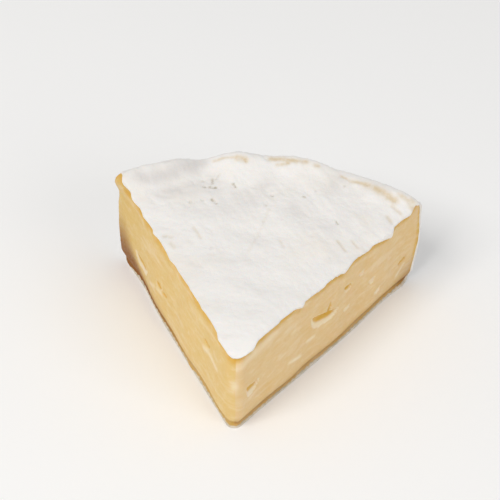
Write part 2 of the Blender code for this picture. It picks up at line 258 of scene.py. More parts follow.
@dataclass(frozen=True)
class WedgeForm:
    """The wheel, the two cuts and the crust over them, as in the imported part."""

    wheel_radius: float = 0.0720
    angle: float = math.radians(63.8)
    tip: tuple[float, float] = (-0.0047, 0.0039)
    tip_height: float = 0.0280
    left_height: float = 0.0300
    right_height: float = 0.0285
    tip_sag: float = 0.0019
    tip_sag_reach: float = 0.0070
    rim_ridge: float = 0.0038
    rim_ridge_lean: float = 0.0008
    rim_ridge_droop: float = 0.0020
    rim_ridge_width: float = 0.0060
    left_press: float = 0.0007
    right_press: float = 0.0008
    press_reach: float = 0.0050
    press_start: float = 0.0150
    press_full: float = 0.0350
    press_fade: float = 0.0060
    press_end: float = 0.0015
    shoulder: float = 0.0052
    foot: float = 0.0036
    swell: float = 0.0006
    tip_round: float = 0.0025
    tip_least_share: float = 1e-6
    # Dents and swellings: x, y, half length, half width, turn in degrees, lift
    forms: tuple[tuple[float, ...], ...] = (
        (-0.0245, 0.0585, 0.0085, 0.0028, 28.0, -0.0009),
        (-0.0170, 0.0655, 0.0045, 0.0045, 0.0, -0.0026),
        (-0.0100, 0.0668, 0.0060, 0.0048, 0.0, 0.0006),
        (-0.0015, 0.0690, 0.0040, 0.0035, 0.0, -0.0011),
        (0.0165, 0.0670, 0.0042, 0.0040, -15.0, -0.0010),
        (0.0225, 0.0655, 0.0040, 0.0035, -20.0, -0.0006),
        (-0.0360, 0.0590, 0.0050, 0.0045, 30.0, 0.0010),
        (0.0350, 0.0610, 0.0045, 0.0040, -30.0, 0.0008),
        (0.0115, 0.0690, 0.0060, 0.0050, -10.0, 0.0004),
        (-0.0130, 0.0540, 0.0070, 0.0040, 20.0, -0.0004),
        (-0.0060, 0.0420, 0.0090, 0.0050, 50.0, -0.0003),
        (0.0120, 0.0430, 0.0100, 0.0060, -35.0, 0.0003),
    )
    # Waves: size, length, heading in degrees, phase
    waves: tuple[tuple[float, ...], ...] = (
        (0.00011, 0.0230, 20.0, 0.7),
        (0.00009, 0.0161, 117.0, 2.1),
        (0.00008, 0.0123, 63.0, 4.0),
        (0.00007, 0.0097, 158.0, 5.2),
        (0.00006, 0.0078, 88.0, 1.1),
    )

    @property
    def tip_point(self) -> np.ndarray:
        """The place where the two cuts would meet."""
        return np.array(self.tip)

    @property
    def shoulder_share(self) -> float:
        """Share of the shoulder's radius that lies outside its 45 degree line."""
        return 1.0 - math.sqrt(0.5)

    def rim_direction(self, spread: np.ndarray | float) -> np.ndarray:
        """Unit vectors from the wheel's centre, for spread from -1 (left cut) to 1 (right cut)."""
        angle = np.asarray(spread) * self.angle / 2.0
        return np.stack([np.sin(angle), np.cos(angle)], axis=-1)

    def cut_length(self, side: Side) -> float:
        """Length of a cut from the tip to the rim corner."""
        return float(np.linalg.norm(self.wheel_radius * self.rim_direction(float(side)) - self.tip_point))

    def cut_direction(self, side: Side) -> np.ndarray:
        """Unit vector from the tip to the rim corner of one cut."""
        corner = self.wheel_radius * self.rim_direction(float(side))
        return (corner - self.tip_point) / self.cut_length(side)

    def cut_normal(self, side: Side) -> np.ndarray:
        """Outward unit normal of one cut."""
        along = self.cut_direction(side)
        return np.array([along[1], -along[0]]) * float(side)

    def crown(self, plan: np.ndarray) -> np.ndarray:
        """Height of the crust: a plane, less bells at the tip and the cuts, plus a ridge, bells and waves.

        Args:
            plan: flat points.

        Returns:
            The height over each point, before the shoulder rounds it down.
        """
        left = self.wheel_radius * self.rim_direction(-1.0)
        right = self.wheel_radius * self.rim_direction(1.0)
        corners = np.array([[*self.tip, 1.0], [*left, 1.0], [*right, 1.0]])
        slope = np.linalg.solve(corners, [self.tip_height, self.left_height, self.right_height])
        height = plan @ slope[:2] + slope[2]
        from_tip = np.linalg.norm(plan - self.tip_point, axis=-1)
        height = height - self.tip_sag * bell(from_tip, 0.0, self.tip_sag_reach)
        spread = np.clip(np.arctan2(plan[..., 0], plan[..., 1]) / (self.angle / 2.0), -1.0, 1.0)
        depth = self.wheel_radius - np.linalg.norm(plan, axis=-1)
        ridge = self.rim_ridge - self.rim_ridge_lean * spread - self.rim_ridge_droop * spread**2
        height = height + ridge * bell(depth, 0.0, self.rim_ridge_width)
        for side, press in ((Side.LEFT, self.left_press), (Side.RIGHT, self.right_press)):
            length = self.cut_length(side)
            along = (plan - self.tip_point) @ self.cut_direction(side)
            inward = (plan - self.tip_point) @ self.cut_normal(side)
            fade = 1.0 - smooth(length - self.press_fade, length - self.press_end, along)
            beside = bell(inward, 0.0, self.press_reach)
            beside = beside * smooth(self.press_start, self.press_full, along)
            height = height - press * beside * fade
        for x, y, half_length, half_width, turn, lift in self.forms:
            along, across = turned(plan - np.array([x, y]), turn)
            height = height + lift * bell(along, 0.0, half_length) * bell(across, 0.0, half_width)
        for size, length, heading, phase in self.waves:
            along, _ = turned(plan, heading)
            height = height + size * np.sin(2.0 * math.pi * along / length + phase)
        return height

    def fall(self, plan: np.ndarray) -> tuple[np.ndarray, np.ndarray]:
        """How far the crust has rounded down towards the rim, on a quarter circle.

        Args:
            plan: flat points.

        Returns:
            The fall at each point, and the outward share of the surface's normal there.
        """
        depth = self.wheel_radius - np.linalg.norm(plan, axis=-1)
        inside = np.clip(self.shoulder - depth, 0.0, self.shoulder * math.sqrt(0.5))
        fall = self.shoulder - np.sqrt(self.shoulder**2 - inside**2)
        return fall, inside / self.shoulder

    def rim_inset(self, drop: np.ndarray, rise: np.ndarray) -> np.ndarray:
        """How far the rim lies inside the wheel: quarter rounds above and below, a swell between.

        Args:
            drop: distances below the crust.
            rise: heights above the base.

        Returns:
            The inset of each point, which is negative where the rim swells.
        """
        above = np.clip(self.shoulder - drop, 0.0, self.shoulder)
        below = np.clip(self.foot - rise, 0.0, self.foot)
        upper = self.shoulder - np.sqrt(self.shoulder**2 - above**2)
        lower = self.foot - np.sqrt(self.foot**2 - below**2)
        flat = np.maximum(drop + rise - self.shoulder - self.foot, self.foot)
        share = np.clip((rise - self.foot) / flat, 0.0, 1.0)
        return upper + lower - self.swell * np.sin(math.pi * share) ** 2

    def round_tip(self, plan: np.ndarray) -> np.ndarray:
        """Bends the sharp tip to an arc: distance along the bisector follows the arc's run.

        Args:
            plan: flat points of the sharp wedge.

        Returns:
            Flat points of the blunt wedge.
        """
        middle = self.cut_direction(Side.LEFT) + self.cut_direction(Side.RIGHT)
        middle = middle / np.linalg.norm(middle)
        across = np.array([middle[1], -middle[0]])
        half = math.acos(float(middle @ self.cut_direction(Side.RIGHT)))
        run = (plan - self.tip_point) @ middle
        tangent = self.tip_round / math.tan(half) * math.cos(half)
        turn = np.clip(run / tangent, self.tip_least_share, 1.0) * (math.pi / 2.0 - half)
        near = run < tangent
        arc = self.tip_round / math.sin(half) - self.tip_round * np.cos(turn)
        new_run = np.where(near, arc, run)
        straight = np.clip(run, tangent * self.tip_least_share, tangent) * math.tan(half)
        squeeze = np.where(near, self.tip_round * np.sin(turn) / straight, 1.0)
        sideways = ((plan - self.tip_point) @ across) * squeeze
        return self.tip_point + new_run[..., None] * middle + sideways[..., None] * across


@dataclass(frozen=True)
class Eye:
    """One opening in the paste of a cut face: a slit under a sharp lip, with a ledge sloping out."""

    side: Side
    along: float
    height: float
    length: float
    ledge: float
    depth: float
    tilt: float
    # Strengths of the painted shade in the eye's back and of the painted light on its ledge
    dark: float = 1.0
    light: float = 1.0
    skew: float = 0.0
    lip: float = 0.0005
    lip_below: float = 0.2
    least_end: float = 0.05
    least_skew: float = 0.15
    steepness: float = 1.8
    dark_span: tuple[float, float] = (0.62, 0.90)
    light_span: tuple[float, float] = (0.45, 0.85)
    light_rim: float = 0.06

    def local(self, along: np.ndarray, rise: np.ndarray) -> tuple[np.ndarray, np.ndarray]:
        """Places along the slit in half lengths, and in metres above it."""
        run, lift = turned(np.stack([along - self.along, rise - self.height], axis=-1), self.tilt)
        return run / (self.length / 2.0), lift

    def pit(self, along: np.ndarray, rise: np.ndarray) -> np.ndarray:
        """Share of the depth: full at the slit, nothing above its lip, and a straight ramp below.

        The ends are closed by one minus the fourth power of the way along the slit. The skew makes
        the ramp longer at the end nearer the wedge's tip.

        Args:
            along: distances from the tip.
            rise: heights above the base.

        Returns:
            The share of the eye's depth at each point.
        """
        run, lift = self.local(along, rise)
        ends = np.clip(1.0 - run**4, 0.0, 1.0)
        above = 1.0 - smooth(-self.lip_below * self.lip, self.lip, lift)
        ledge = self.ledge * np.maximum(ends, self.least_end)
        ledge = ledge * np.maximum(1.0 - self.skew * run, self.least_skew)
        below = np.clip(1.0 + lift / ledge, 0.0, 1.0)
        return ends * above * np.where(lift > 0.0, 1.0, below)

    @property
    def open_share(self) -> float:
        """Share of the depth that shows under the lip when seen at the steepness of the main view."""
        return 1.0 / (1.0 + self.steepness * self.depth / self.ledge)

    def shade(self, along: np.ndarray, rise: np.ndarray) -> np.ndarray:
        """Painted shade, deep gold, in the back of the eye: a soft step of the pit's depth."""
        low, high = (share * self.open_share for share in self.dark_span)
        return self.dark * smooth(low, high, self.pit(along, rise))

    def glow(self, along: np.ndarray, rise: np.ndarray) -> np.ndarray:
        """Painted light on the ledge, which faces up: the shallow part of the pit.

        Args:
            along: distances from the tip.
            rise: heights above the base.

        Returns:
            The share of light paste at each point.
        """
        pit = self.pit(along, rise)
        low, high = (share * self.open_share for share in self.light_span)
        outer = 1.0 - min(self.dark, 1.0) * smooth(low, high, pit)
        return self.light * smooth(0.0, self.light_rim, pit) * outer


@dataclass(frozen=True)
class CutRelief:
    """Relief of the two cut faces: torn lip of rind, creases, belly, knife waves and eyes."""

    form: WedgeForm
    rind_thickness: float = 0.00060
    rind_proud: float = 0.00014
    edge_roll: float = 0.0003
    roll_depth: float = 0.0012
    tooth_proud: float = 0.0005
    tooth_hang: float = 0.0009
    belly: float = 0.0004
    belly_sag: float = 0.75
    crease_top: float = 0.0004
    crease_foot: float = 0.0005
    crease_top_drop: float = 0.0013
    crease_foot_rise: float = 0.0016
    crease_width: float = 0.0009
    knife_wave: float = 0.00025
    knife_wave_length: float = 0.0190
    knife_wave_shift: float = 1.3
    knife_wave_lean: float = 60.0
    squeeze_proud: float = 0.0012
    squeeze_drop: float = 0.0040
    squeeze_spread: float = 0.0026
    squeeze_length: float = 0.0040
    draw_in: float = 0.0004
    draw_in_length: float = 0.0420
    low_rise: float = 0.0130
    sway: float = 0.0006
    sway_end: float = 0.0120
    sway_length: float = 0.0080
    reach: float = 0.0014
    frill_length: float = 0.0018
    frill_sway: float = 0.0006
    frill_sway_length: float = 0.0050
    frill_size_length: float = 0.0035
    frill_offset: float = 0.07
    frill_ramp: float = 0.72
    frill_turn: float = 0.76
    frill_mean: float = 0.55
    frill_spread: float = 0.7
    frill_least: float = 0.1
    # Teeth of torn rind: side, distance of the torn end from the tip, ramp length, share, snap length
    teeth_table: tuple[tuple[float, ...], ...] = (
        (Side.RIGHT, 0.0056, 0.0030, 0.9, 0.0022),
        (Side.RIGHT, 0.0145, 0.0040, 0.2, 0.0015),
        (Side.RIGHT, 0.0232, 0.0024, 0.9, 0.0016),
        (Side.RIGHT, 0.0315, 0.0040, 0.3, 0.0015),
        (Side.RIGHT, 0.0392, 0.0020, 1.0, 0.0045),
        (Side.RIGHT, 0.0488, 0.0035, 0.4, 0.0020),
        (Side.RIGHT, 0.0572, 0.0065, 1.8, 0.0024),
        (Side.RIGHT, 0.0655, 0.0030, 0.8, 0.0025),
        (Side.LEFT, 0.0070, 0.0035, 0.8, 0.0020),
        (Side.LEFT, 0.0165, 0.0040, 0.2, 0.0015),
        (Side.LEFT, 0.0230, 0.0030, 0.2, 0.0012),
        (Side.LEFT, 0.0345, 0.0030, 0.5, 0.0035),
        (Side.LEFT, 0.0443, 0.0028, 0.6, 0.0010),
        (Side.LEFT, 0.0505, 0.0030, 0.5, 0.0022),
        (Side.LEFT, 0.0570, 0.0035, 0.8, 0.0022),
        (Side.LEFT, 0.0618, 0.0035, 1.6, 0.0024),
    )
    eyes: tuple[Eye, ...] = (
        Eye(Side.RIGHT, 0.0333, 0.0164, 0.0110, 0.0034, 0.0011, -19.0, 1.0, 0.9, 0.30),
        Eye(Side.RIGHT, 0.0345, 0.0176, 0.0040, 0.0012, 0.0005, 68.0, 1.0, 0.0),
        Eye(Side.RIGHT, 0.0421, 0.0192, 0.0032, 0.0019, 0.0008, -4.0, 1.0, 0.8),
        Eye(Side.RIGHT, 0.0658, 0.0108, 0.0034, 0.0017, 0.0007, 18.0, 1.0, 0.0),
        Eye(Side.RIGHT, 0.0067, 0.0131, 0.0046, 0.0034, 0.0011, -3.0, 0.8, 1.0, 0.2),
        Eye(Side.RIGHT, 0.0554, 0.0082, 0.0028, 0.0012, 0.0005, 22.0, 0.0, 1.0),
        Eye(Side.RIGHT, 0.0521, 0.0142, 0.0024, 0.0012, 0.0005, 10.0, 0.0, 0.8),
        Eye(Side.RIGHT, 0.0425, 0.0114, 0.0030, 0.0010, 0.0004, -8.0, 0.0, 0.8),
        Eye(Side.RIGHT, 0.0476, 0.0197, 0.0022, 0.0010, 0.0004, 15.0, 0.0, 0.6),
        Eye(Side.LEFT, 0.0527, 0.0110, 0.0080, 0.0038, 0.0005, 5.0, 1.0, 1.0),
        Eye(Side.LEFT, 0.0413, 0.0130, 0.0036, 0.0026, 0.0005, 14.0, 1.0, 0.4),
        Eye(Side.LEFT, 0.0380, 0.0122, 0.0024, 0.0018, 0.0004, 6.0, 1.0, 0.0),
        Eye(Side.LEFT, 0.0141, 0.0186, 0.0036, 0.0028, 0.0006, 3.0, 1.0, 0.0),
    )

    def teeth(self, side: Side, along: np.ndarray) -> np.ndarray:
        """Teeth of the torn rind: each ramps up along the cut and snaps back.

        Args:
            side: which cut.
            along: distances from the tip.

        Returns:
            The teeth's height at each distance.
        """
        total = np.zeros_like(along)
        for tooth_side, end, ramp, share, snap in self.teeth_table:
            if tooth_side == side:
                rising = np.clip((along - (end - ramp)) / ramp, 0.0, 1.0)
                total = total + share * rising * (1.0 - smooth(end, end + snap, along))
        return total

    def frill(self, side: Side, along: np.ndarray) -> np.ndarray:
        """Small torn teeth: a sawtooth of the distance, swayed and sized by noise.

        Args:
            side: which cut.
            along: distances from the tip.

        Returns:
            The small teeth's height at each distance, from 0 to 1.
        """
        line = cut_line(side, along, self.frill_offset)
        swayed = along + self.frill_sway * Grain(Seed.FRILL_SWAY).noise(line, self.frill_sway_length)
        share = swayed / self.frill_length
        share = share - np.floor(share)
        saw = np.clip(share / self.frill_ramp, 0.0, 1.0) * (1.0 - smooth(self.frill_turn, 1.0, share))
        uneven = self.frill_spread * Grain(Seed.FRILL_SIZE).noise(line, self.frill_size_length)
        return saw * np.clip(self.frill_mean + uneven, self.frill_least, 1.0)

    def lip(self, side: Side, along: np.ndarray, drop: np.ndarray) -> np.ndarray:
        """The rind's proud lip: full down to its torn edge, gone at the crease.

        Args:
            side: which cut.
            along: distances from the tip.
            drop: distances below the crust.

        Returns:
            The outward relief of each point.
        """
        teeth = self.teeth(side, along)
        hang = self.rind_thickness + self.tooth_hang * teeth
        crease = self.crease_top_drop + self.tooth_hang * teeth
        return (self.rind_proud + self.tooth_proud * teeth) * (1.0 - smooth(hang, crease, drop))

    def broad(self, side: Side, along: np.ndarray, drop: np.ndarray, rise: np.ndarray) -> np.ndarray:
        """Broad relief of the paste: belly and knife waves, less creases, draw-in and sway.

        Args:
            side: which cut.
            along: distances from the tip.
            drop: distances below the crust.
            rise: heights above the base.

        Returns:
            The outward relief of each point.
        """
        length = self.form.cut_length(side)
        share = np.clip(rise / np.maximum(drop + rise, 1e-6), 0.0, 1.0)
        body = np.sin(math.pi * share**self.belly_sag)
        crease_drop = self.crease_top_drop + self.tooth_hang * self.teeth(side, along)
        upper = self.crease_top * bell(drop, crease_drop, self.crease_width)
        lower = self.crease_foot * bell(rise, self.crease_foot_rise, self.crease_width)
        phase = self.knife_wave_shift * float(side) + self.knife_wave_lean * rise
        wave = np.sin(2.0 * math.pi * along / self.knife_wave_length + phase)
        low = 1.0 - smooth(0.0, self.low_rise, rise)
        draw_in = self.draw_in * low * (1.0 - smooth(0.0, self.draw_in_length, along))
        sway = self.sway * low * bell(along, length - self.sway_end, self.sway_length)
        relief = (self.belly + self.knife_wave * wave) * body - upper - lower - draw_in - sway
        if side == Side.LEFT:
            corner = bell(along, length, self.squeeze_length)
            squeezed = bell(drop, self.squeeze_drop, self.squeeze_spread)
            relief = relief + self.squeeze_proud * corner * squeezed
        return relief

    def placed(
        self,
        plan: np.ndarray,
        height: np.ndarray,
        crown: np.ndarray,
        relief: Callable[[Side, np.ndarray, np.ndarray, np.ndarray], np.ndarray],
    ) -> np.ndarray:
        """Moves points outwards by the relief of both cuts, which fades away from each cut.

        Args:
            plan: flat places.
            height: heights above the base.
            crown: height of the crust over each place.
            relief: outward relief for a side, and for distances along, below the crust and up.

        Returns:
            Points, three numbers to a row.
        """
        moved = self.form.round_tip(plan)
        drop = np.maximum(crown - height, 0.0)
        roll = np.zeros_like(height)
        for side in Side:
            normal = self.form.cut_normal(side)
            inward = np.maximum(-((plan - self.form.tip_point) @ normal), 0.0)
            weight = bell(inward, 0.0, self.reach)
            along = (plan - self.form.tip_point) @ self.form.cut_direction(side)
            moved = moved + (relief(side, along, drop, height) * weight)[:, None] * normal
            roll = np.maximum(roll, weight)
        lowered = height - self.edge_roll * roll * (1.0 - smooth(0.0, self.roll_depth, drop))
        return np.column_stack([moved, lowered])


@dataclass
class Skin:
    """Places on the outer skin, before the knife's relief, with the way that the skin faces."""

    plan: np.ndarray
    height: np.ndarray
    crown: np.ndarray
    out_flat: np.ndarray
    out_up: np.ndarray

    def picked(self, index: np.ndarray) -> "Skin":
        """The same skin at some of its points."""
        parts = (self.plan, self.height, self.crown, self.out_flat, self.out_up)
        return Skin(*(part[index] for part in parts))

    def sunk(self, depth: np.ndarray, tip: np.ndarray) -> tuple[np.ndarray, np.ndarray]:
        """Points below the skin, moved along its normal, whose flat part points to the tip.

        Args:
            depth: how far each point goes in.
            tip: the flat point where the cuts meet.

        Returns:
            Flat places and heights.
        """
        ray = self.plan - tip
        ray = ray / np.maximum(np.linalg.norm(ray, axis=1), 1e-9)[:, None]
        plan = self.plan - (depth * self.out_flat)[:, None] * ray
        return plan, self.height - depth * self.out_up


@dataclass(frozen=True)
class SkinLayout:
    """The folded skin: a sector over the crust, the rim wall and a sector under the base.

    Row i of a sector has i + 1 points, from the left cut to the right. The last row of the upper
    sector is the top of the wall, and the last row of the lower one is the wall's foot.
    """

    cells: int
    wall_rows: int
    gather: float = 0.35

    @property
    def sector_size(self) -> int:
        """Number of points of one sector."""
        return (self.cells + 1) * (self.cells + 2) // 2

    @property
    def size(self) -> int:
        """Number of points of the whole skin."""
        return 2 * self.sector_size + (self.cells + 1) * (self.wall_rows - 2)

    def sector(self) -> tuple[np.ndarray, np.ndarray]:
        """Row and column of every point of a sector.

        Returns:
            The rows and the columns, from the tip outwards.
        """
        rows = np.repeat(np.arange(self.cells + 1), np.arange(1, self.cells + 2))
        columns = np.arange(self.sector_size) - rows * (rows + 1) // 2
        return rows, columns

    def wall(self) -> np.ndarray:
        """Index of each wall point, by column and row, sharing the sectors' last rows.

        Returns:
            A grid of indices.
        """
        last = self.sector_size - self.cells - 1 + np.arange(self.cells + 1)
        middle = self.sector_size + np.arange((self.cells + 1) * (self.wall_rows - 2))
        grid = np.empty((self.cells + 1, self.wall_rows), dtype=np.int64)
        grid[:, 0] = last
        grid[:, 1:-1] = middle.reshape(self.cells + 1, -1)
        grid[:, -1] = last + self.size - self.sector_size
        return grid

    def shares(self) -> np.ndarray:
        """Share of the way down for each wall row: an even run with a sine, finer at both ends."""
        even = np.linspace(0.0, 1.0, self.wall_rows)
        return even - self.gather * np.sin(2.0 * math.pi * even) / (2.0 * math.pi)

    def skin(self, form: WedgeForm) -> Skin:
        """Places of the skin: rays from the tip over the crust, columns down the rim, rays below.

        Args:
            form: the wedge.

        Returns:
            Every point of the layout.
        """
        rows, columns = self.sector()
        spread = np.where(rows > 0, -1.0 + 2.0 * columns / np.maximum(rows, 1), 0.0)
        share = (rows / self.cells)[:, None]
        tip = form.tip_point

        edge = (form.wheel_radius - form.shoulder_share * form.shoulder) * form.rim_direction(spread)
        upper = tip + share * (edge - tip)
        fall, upper_flat = form.fall(upper)
        upper_height = form.crown(upper) - fall

        foot = (form.wheel_radius - form.foot) * form.rim_direction(spread)
        lower = tip + share * (foot - tip)

        fan = np.linspace(-1.0, 1.0, self.cells + 1)
        rim_edge = (form.wheel_radius - form.shoulder_share * form.shoulder) * form.rim_direction(fan)
        crown = form.crown(rim_edge)
        top = crown - form.shoulder_share * form.shoulder
        height = top[:, None] * (1.0 - self.shares()[None, 1:-1])
        drop = crown[:, None] - height
        radius = form.wheel_radius - form.rim_inset(drop, height)
        wall = radius[..., None] * form.rim_direction(fan)[:, None, :]
        above = np.clip(form.shoulder - drop, 0.0, form.shoulder) / form.shoulder
        below = np.clip(form.foot - height, 0.0, form.foot) / form.foot
        wall_up = (above - below).ravel()
        wall_top = np.broadcast_to(top[:, None], height.shape)

        return Skin(
            np.concatenate([upper, wall.reshape(-1, 2), lower]),
            np.concatenate([upper_height, height.ravel(), np.zeros(len(lower))]),
            np.concatenate([upper_height, wall_top.ravel(), form.crown(lower)]),
            np.concatenate([upper_flat, np.sqrt(1.0 - wall_up**2), np.zeros(len(lower))]),
            np.concatenate([np.sqrt(1.0 - upper_flat**2), wall_up, -np.ones(len(lower))]),
        )

    def faces(self) -> np.ndarray:
        """Triangles of the skin, facing outwards.

        Returns:
            Triangles, three indices to a row.
        """
        rows, columns = self.sector()
        inner = rows < self.cells
        start = np.flatnonzero(inner)
        after = start + rows[inner] + 1
        first = np.stack([start, after + 1, after], axis=1)
        paired = columns[inner] < rows[inner]
        second = np.stack([start[paired], start[paired] + 1, after[paired] + 1], axis=1)
        upper = np.concatenate([first, second])
        lower = upper[:, ::-1] + self.size - self.sector_size
        return np.concatenate([upper, sheet_faces(self.wall(), False), lower])

    def edge(self, side: Side) -> np.ndarray:
        """Points along one cut: out over the crust, down the rim and back under the base.

        Args:
            side: which cut.

        Returns:
            Their indices in that order.
        """
        rows = np.arange(self.cells + 1)
        start = rows * (rows + 1) // 2
        border = start if side == Side.LEFT else start + rows
        wall = self.wall()[0 if side == Side.LEFT else -1]
        below = border[::-1] + self.size - self.sector_size
        return np.concatenate([border, wall[1:-1], below])

    def ring(self) -> np.ndarray:
        """The whole border in order: along the left cut to the base's tip, back along the right."""
        right = self.edge(Side.RIGHT)[::-1]
        return np.concatenate([self.edge(Side.LEFT), right[1:-1]])


def sheet_faces(grid: np.ndarray, flip: bool) -> np.ndarray:
    """Two triangles for each cell of a grid of point indices.

    Args:
        grid: indices by column and row.
        flip: turns the faces over.

    Returns:
        Triangles, three indices to a row.
    """
    a, b = grid[:-1, :-1].ravel(), grid[1:, :-1].ravel()
    c, d = grid[1:, 1:].ravel(), grid[:-1, 1:].ravel()
    faces = np.concatenate([np.stack([a, b, c], axis=1), np.stack([a, c, d], axis=1)])
    return faces[:, ::-1] if flip else faces


def make_piece(
    name: str,
    points: np.ndarray,
    faces: np.ndarray,
    attributes: dict[str, np.ndarray],
    material: bpy.types.Material,
) -> bpy.types.Object:
    """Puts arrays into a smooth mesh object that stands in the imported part's frame.

    Args:
        name: the piece's name.
        points: places about the wheel's centre.
        faces: triangles.
        attributes: a value for each point, by name.
        material: the finish.

    Returns:
        The new object.
    """
    mesh = bpy.data.meshes.new(name)
    mesh.from_pydata((points + np.array(WHEEL_CENTRE)).tolist(), [], faces.tolist())
    mesh.polygons.foreach_set("use_smooth", np.ones(len(faces), dtype=bool))
    for key, values in attributes.items():
        layer = mesh.attributes.new(key, "FLOAT", "POINT")
        layer.data.foreach_set("value", values.astype(np.float32))
    mesh.materials.append(material)
    mesh.update()
    piece = bpy.data.objects.new(name, mesh)
    bpy.context.scene.collection.objects.link(piece)
    return piece


class Chart:
    """A material's nodes, with short calls for the kinds that the finishes use."""

    def __init__(self, name: str) -> None:
        """Starts a material with one Principled shader.

        Args:
            name: the material's name.
        """
        self.material = bpy.data.materials.new(name)
        self.material.use_nodes = True
        self.tree = self.material.node_tree
        self.shader = self.tree.nodes["Principled BSDF"]

    def place(self, kind: str) -> bpy.types.Node:
        """Adds a node of one kind."""
        return self.tree.nodes.new(kind)

    def settle(self, values: dict[str, float | tuple[float, float, float]]) -> None:
        """Sets the shader's own sockets to constant values, by name."""
        for name, value in values.items():
            self.shader.inputs[name].default_value = value

    def join(self, source: bpy.types.NodeSocket, target: bpy.types.NodeSocket) -> None:
        """Links two sockets."""
        self.tree.links.new(source, target)

    def coordinates(
        self, stretch: tuple[float, float, float] = (1.0, 1.0, 1.0), turn: float = 0.0
    ) -> bpy.types.NodeSocket:
        """Object coordinates, stretched along each axis and turned about Z by degrees.

        Args:
            stretch: factor for each axis.
            turn: degrees about Z.

        Returns:
            The node's result.
        """
        source = self.place("ShaderNodeTexCoord")
        mapping = self.place("ShaderNodeMapping")
        mapping.inputs["Scale"].default_value = stretch
        mapping.inputs["Rotation"].default_value = (0.0, 0.0, math.radians(turn))
        self.join(source.outputs["Object"], mapping.inputs["Vector"])
        return mapping.outputs["Vector"]

    def noise(
        self, vector: bpy.types.NodeSocket, size: float, detail: float = 3.0, warp: float = 0.0
    ) -> bpy.types.NodeSocket:
        """Cloudy noise whose lumps measure about size metres.

        Args:
            vector: coordinates.
            size: length of a lump.
            detail: number of finer layers.
            warp: how far the noise bends itself.

        Returns:
            The node's result.
        """
        node = self.place("ShaderNodeTexNoise")
        node.inputs["Scale"].default_value = 1.0 / size
        node.inputs["Detail"].default_value = detail
        node.inputs["Distortion"].default_value = warp
        self.join(vector, node.inputs["Vector"])
        return node.outputs["Fac"]

    def attribute(self, name: str) -> bpy.types.NodeSocket:
        """A value that the mesh carries at its points.

        Args:
            name: the attribute's name.

        Returns:
            The node's result.
        """
        node = self.place("ShaderNodeAttribute")
        node.attribute_name = name
        return node.outputs["Fac"]

    def span(
        self,
        value: bpy.types.NodeSocket,
        low: float,
        high: float,
        to_low: float = 0.0,
        to_high: float = 1.0,
    ) -> bpy.types.NodeSocket:
        """Soft step from one range to another.

        Args:
            value: what is mapped.
            low: value where the step starts.
            high: value where it ends.
            to_low: result at the start.
            to_high: result at the end.

        Returns:
            The node's result.
        """
        node = self.place("ShaderNodeMapRange")
        node.interpolation_type = "SMOOTHSTEP"
        node.inputs["From Min"].default_value = low
        node.inputs["From Max"].default_value = high
        node.inputs["To Min"].default_value = to_low
        node.inputs["To Max"].default_value = to_high
        self.join(value, node.inputs["Value"])
        return node.outputs["Result"]

    def sum(
        self, first: bpy.types.NodeSocket, second: bpy.types.NodeSocket | float, how: Step
    ) -> bpy.types.NodeSocket:
        """Joins two numbers by one arithmetic step.

        Args:
            first: a node's result.
            second: another result, or a constant.
            how: the step.

        Returns:
            The node's result.
        """
        node = self.place("ShaderNodeMath")
        node.operation = how.value
        self.join(first, node.inputs[0])
        if isinstance(second, float):
            node.inputs[1].default_value = second
        else:
            self.join(second, node.inputs[1])
        return node.outputs[0]

    def capped(self, value: bpy.types.NodeSocket) -> bpy.types.NodeSocket:
        """A number held to 1 at most."""
        return self.sum(value, 1.0, Step.MINIMUM)

    def blend(
        self,
        share: bpy.types.NodeSocket,
        first: bpy.types.NodeSocket | tuple[float, float, float],
        second: tuple[float, float, float],
    ) -> bpy.types.NodeSocket:
        """Mixes two colours by a share.

        Args:
            share: share of the second colour.
            first: a node's colour, or a constant one.
            second: a constant colour.

        Returns:
            The node's result.
        """
        node = self.place("ShaderNodeMix")
        node.data_type = "RGBA"
        self.join(share, node.inputs[0])
        if isinstance(first, tuple):
            node.inputs[6].default_value = (*first, 1.0)
        else:
            self.join(first, node.inputs[6])
        node.inputs[7].default_value = (*second, 1.0)
        return node.outputs[2]

    def bump(
        self,
        height: bpy.types.NodeSocket,
        distance: float,
        strength: float,
        before: bpy.types.NodeSocket | None = None,
    ) -> bpy.types.NodeSocket:
        """Fine relief from a height, laid over an earlier one.

        Args:
            height: a node's result.
            distance: metres for each unit of height.
            strength: share of the relief that shows.
            before: an earlier relief, if any.

        Returns:
            The bent normal.
        """
        node = self.place("ShaderNodeBump")
        node.inputs["Distance"].default_value = distance
        node.inputs["Strength"].default_value = strength
        self.join(height, node.inputs["Height"])
        if before is not None:
            self.join(before, node.inputs["Normal"])
        return node.outputs["Normal"]


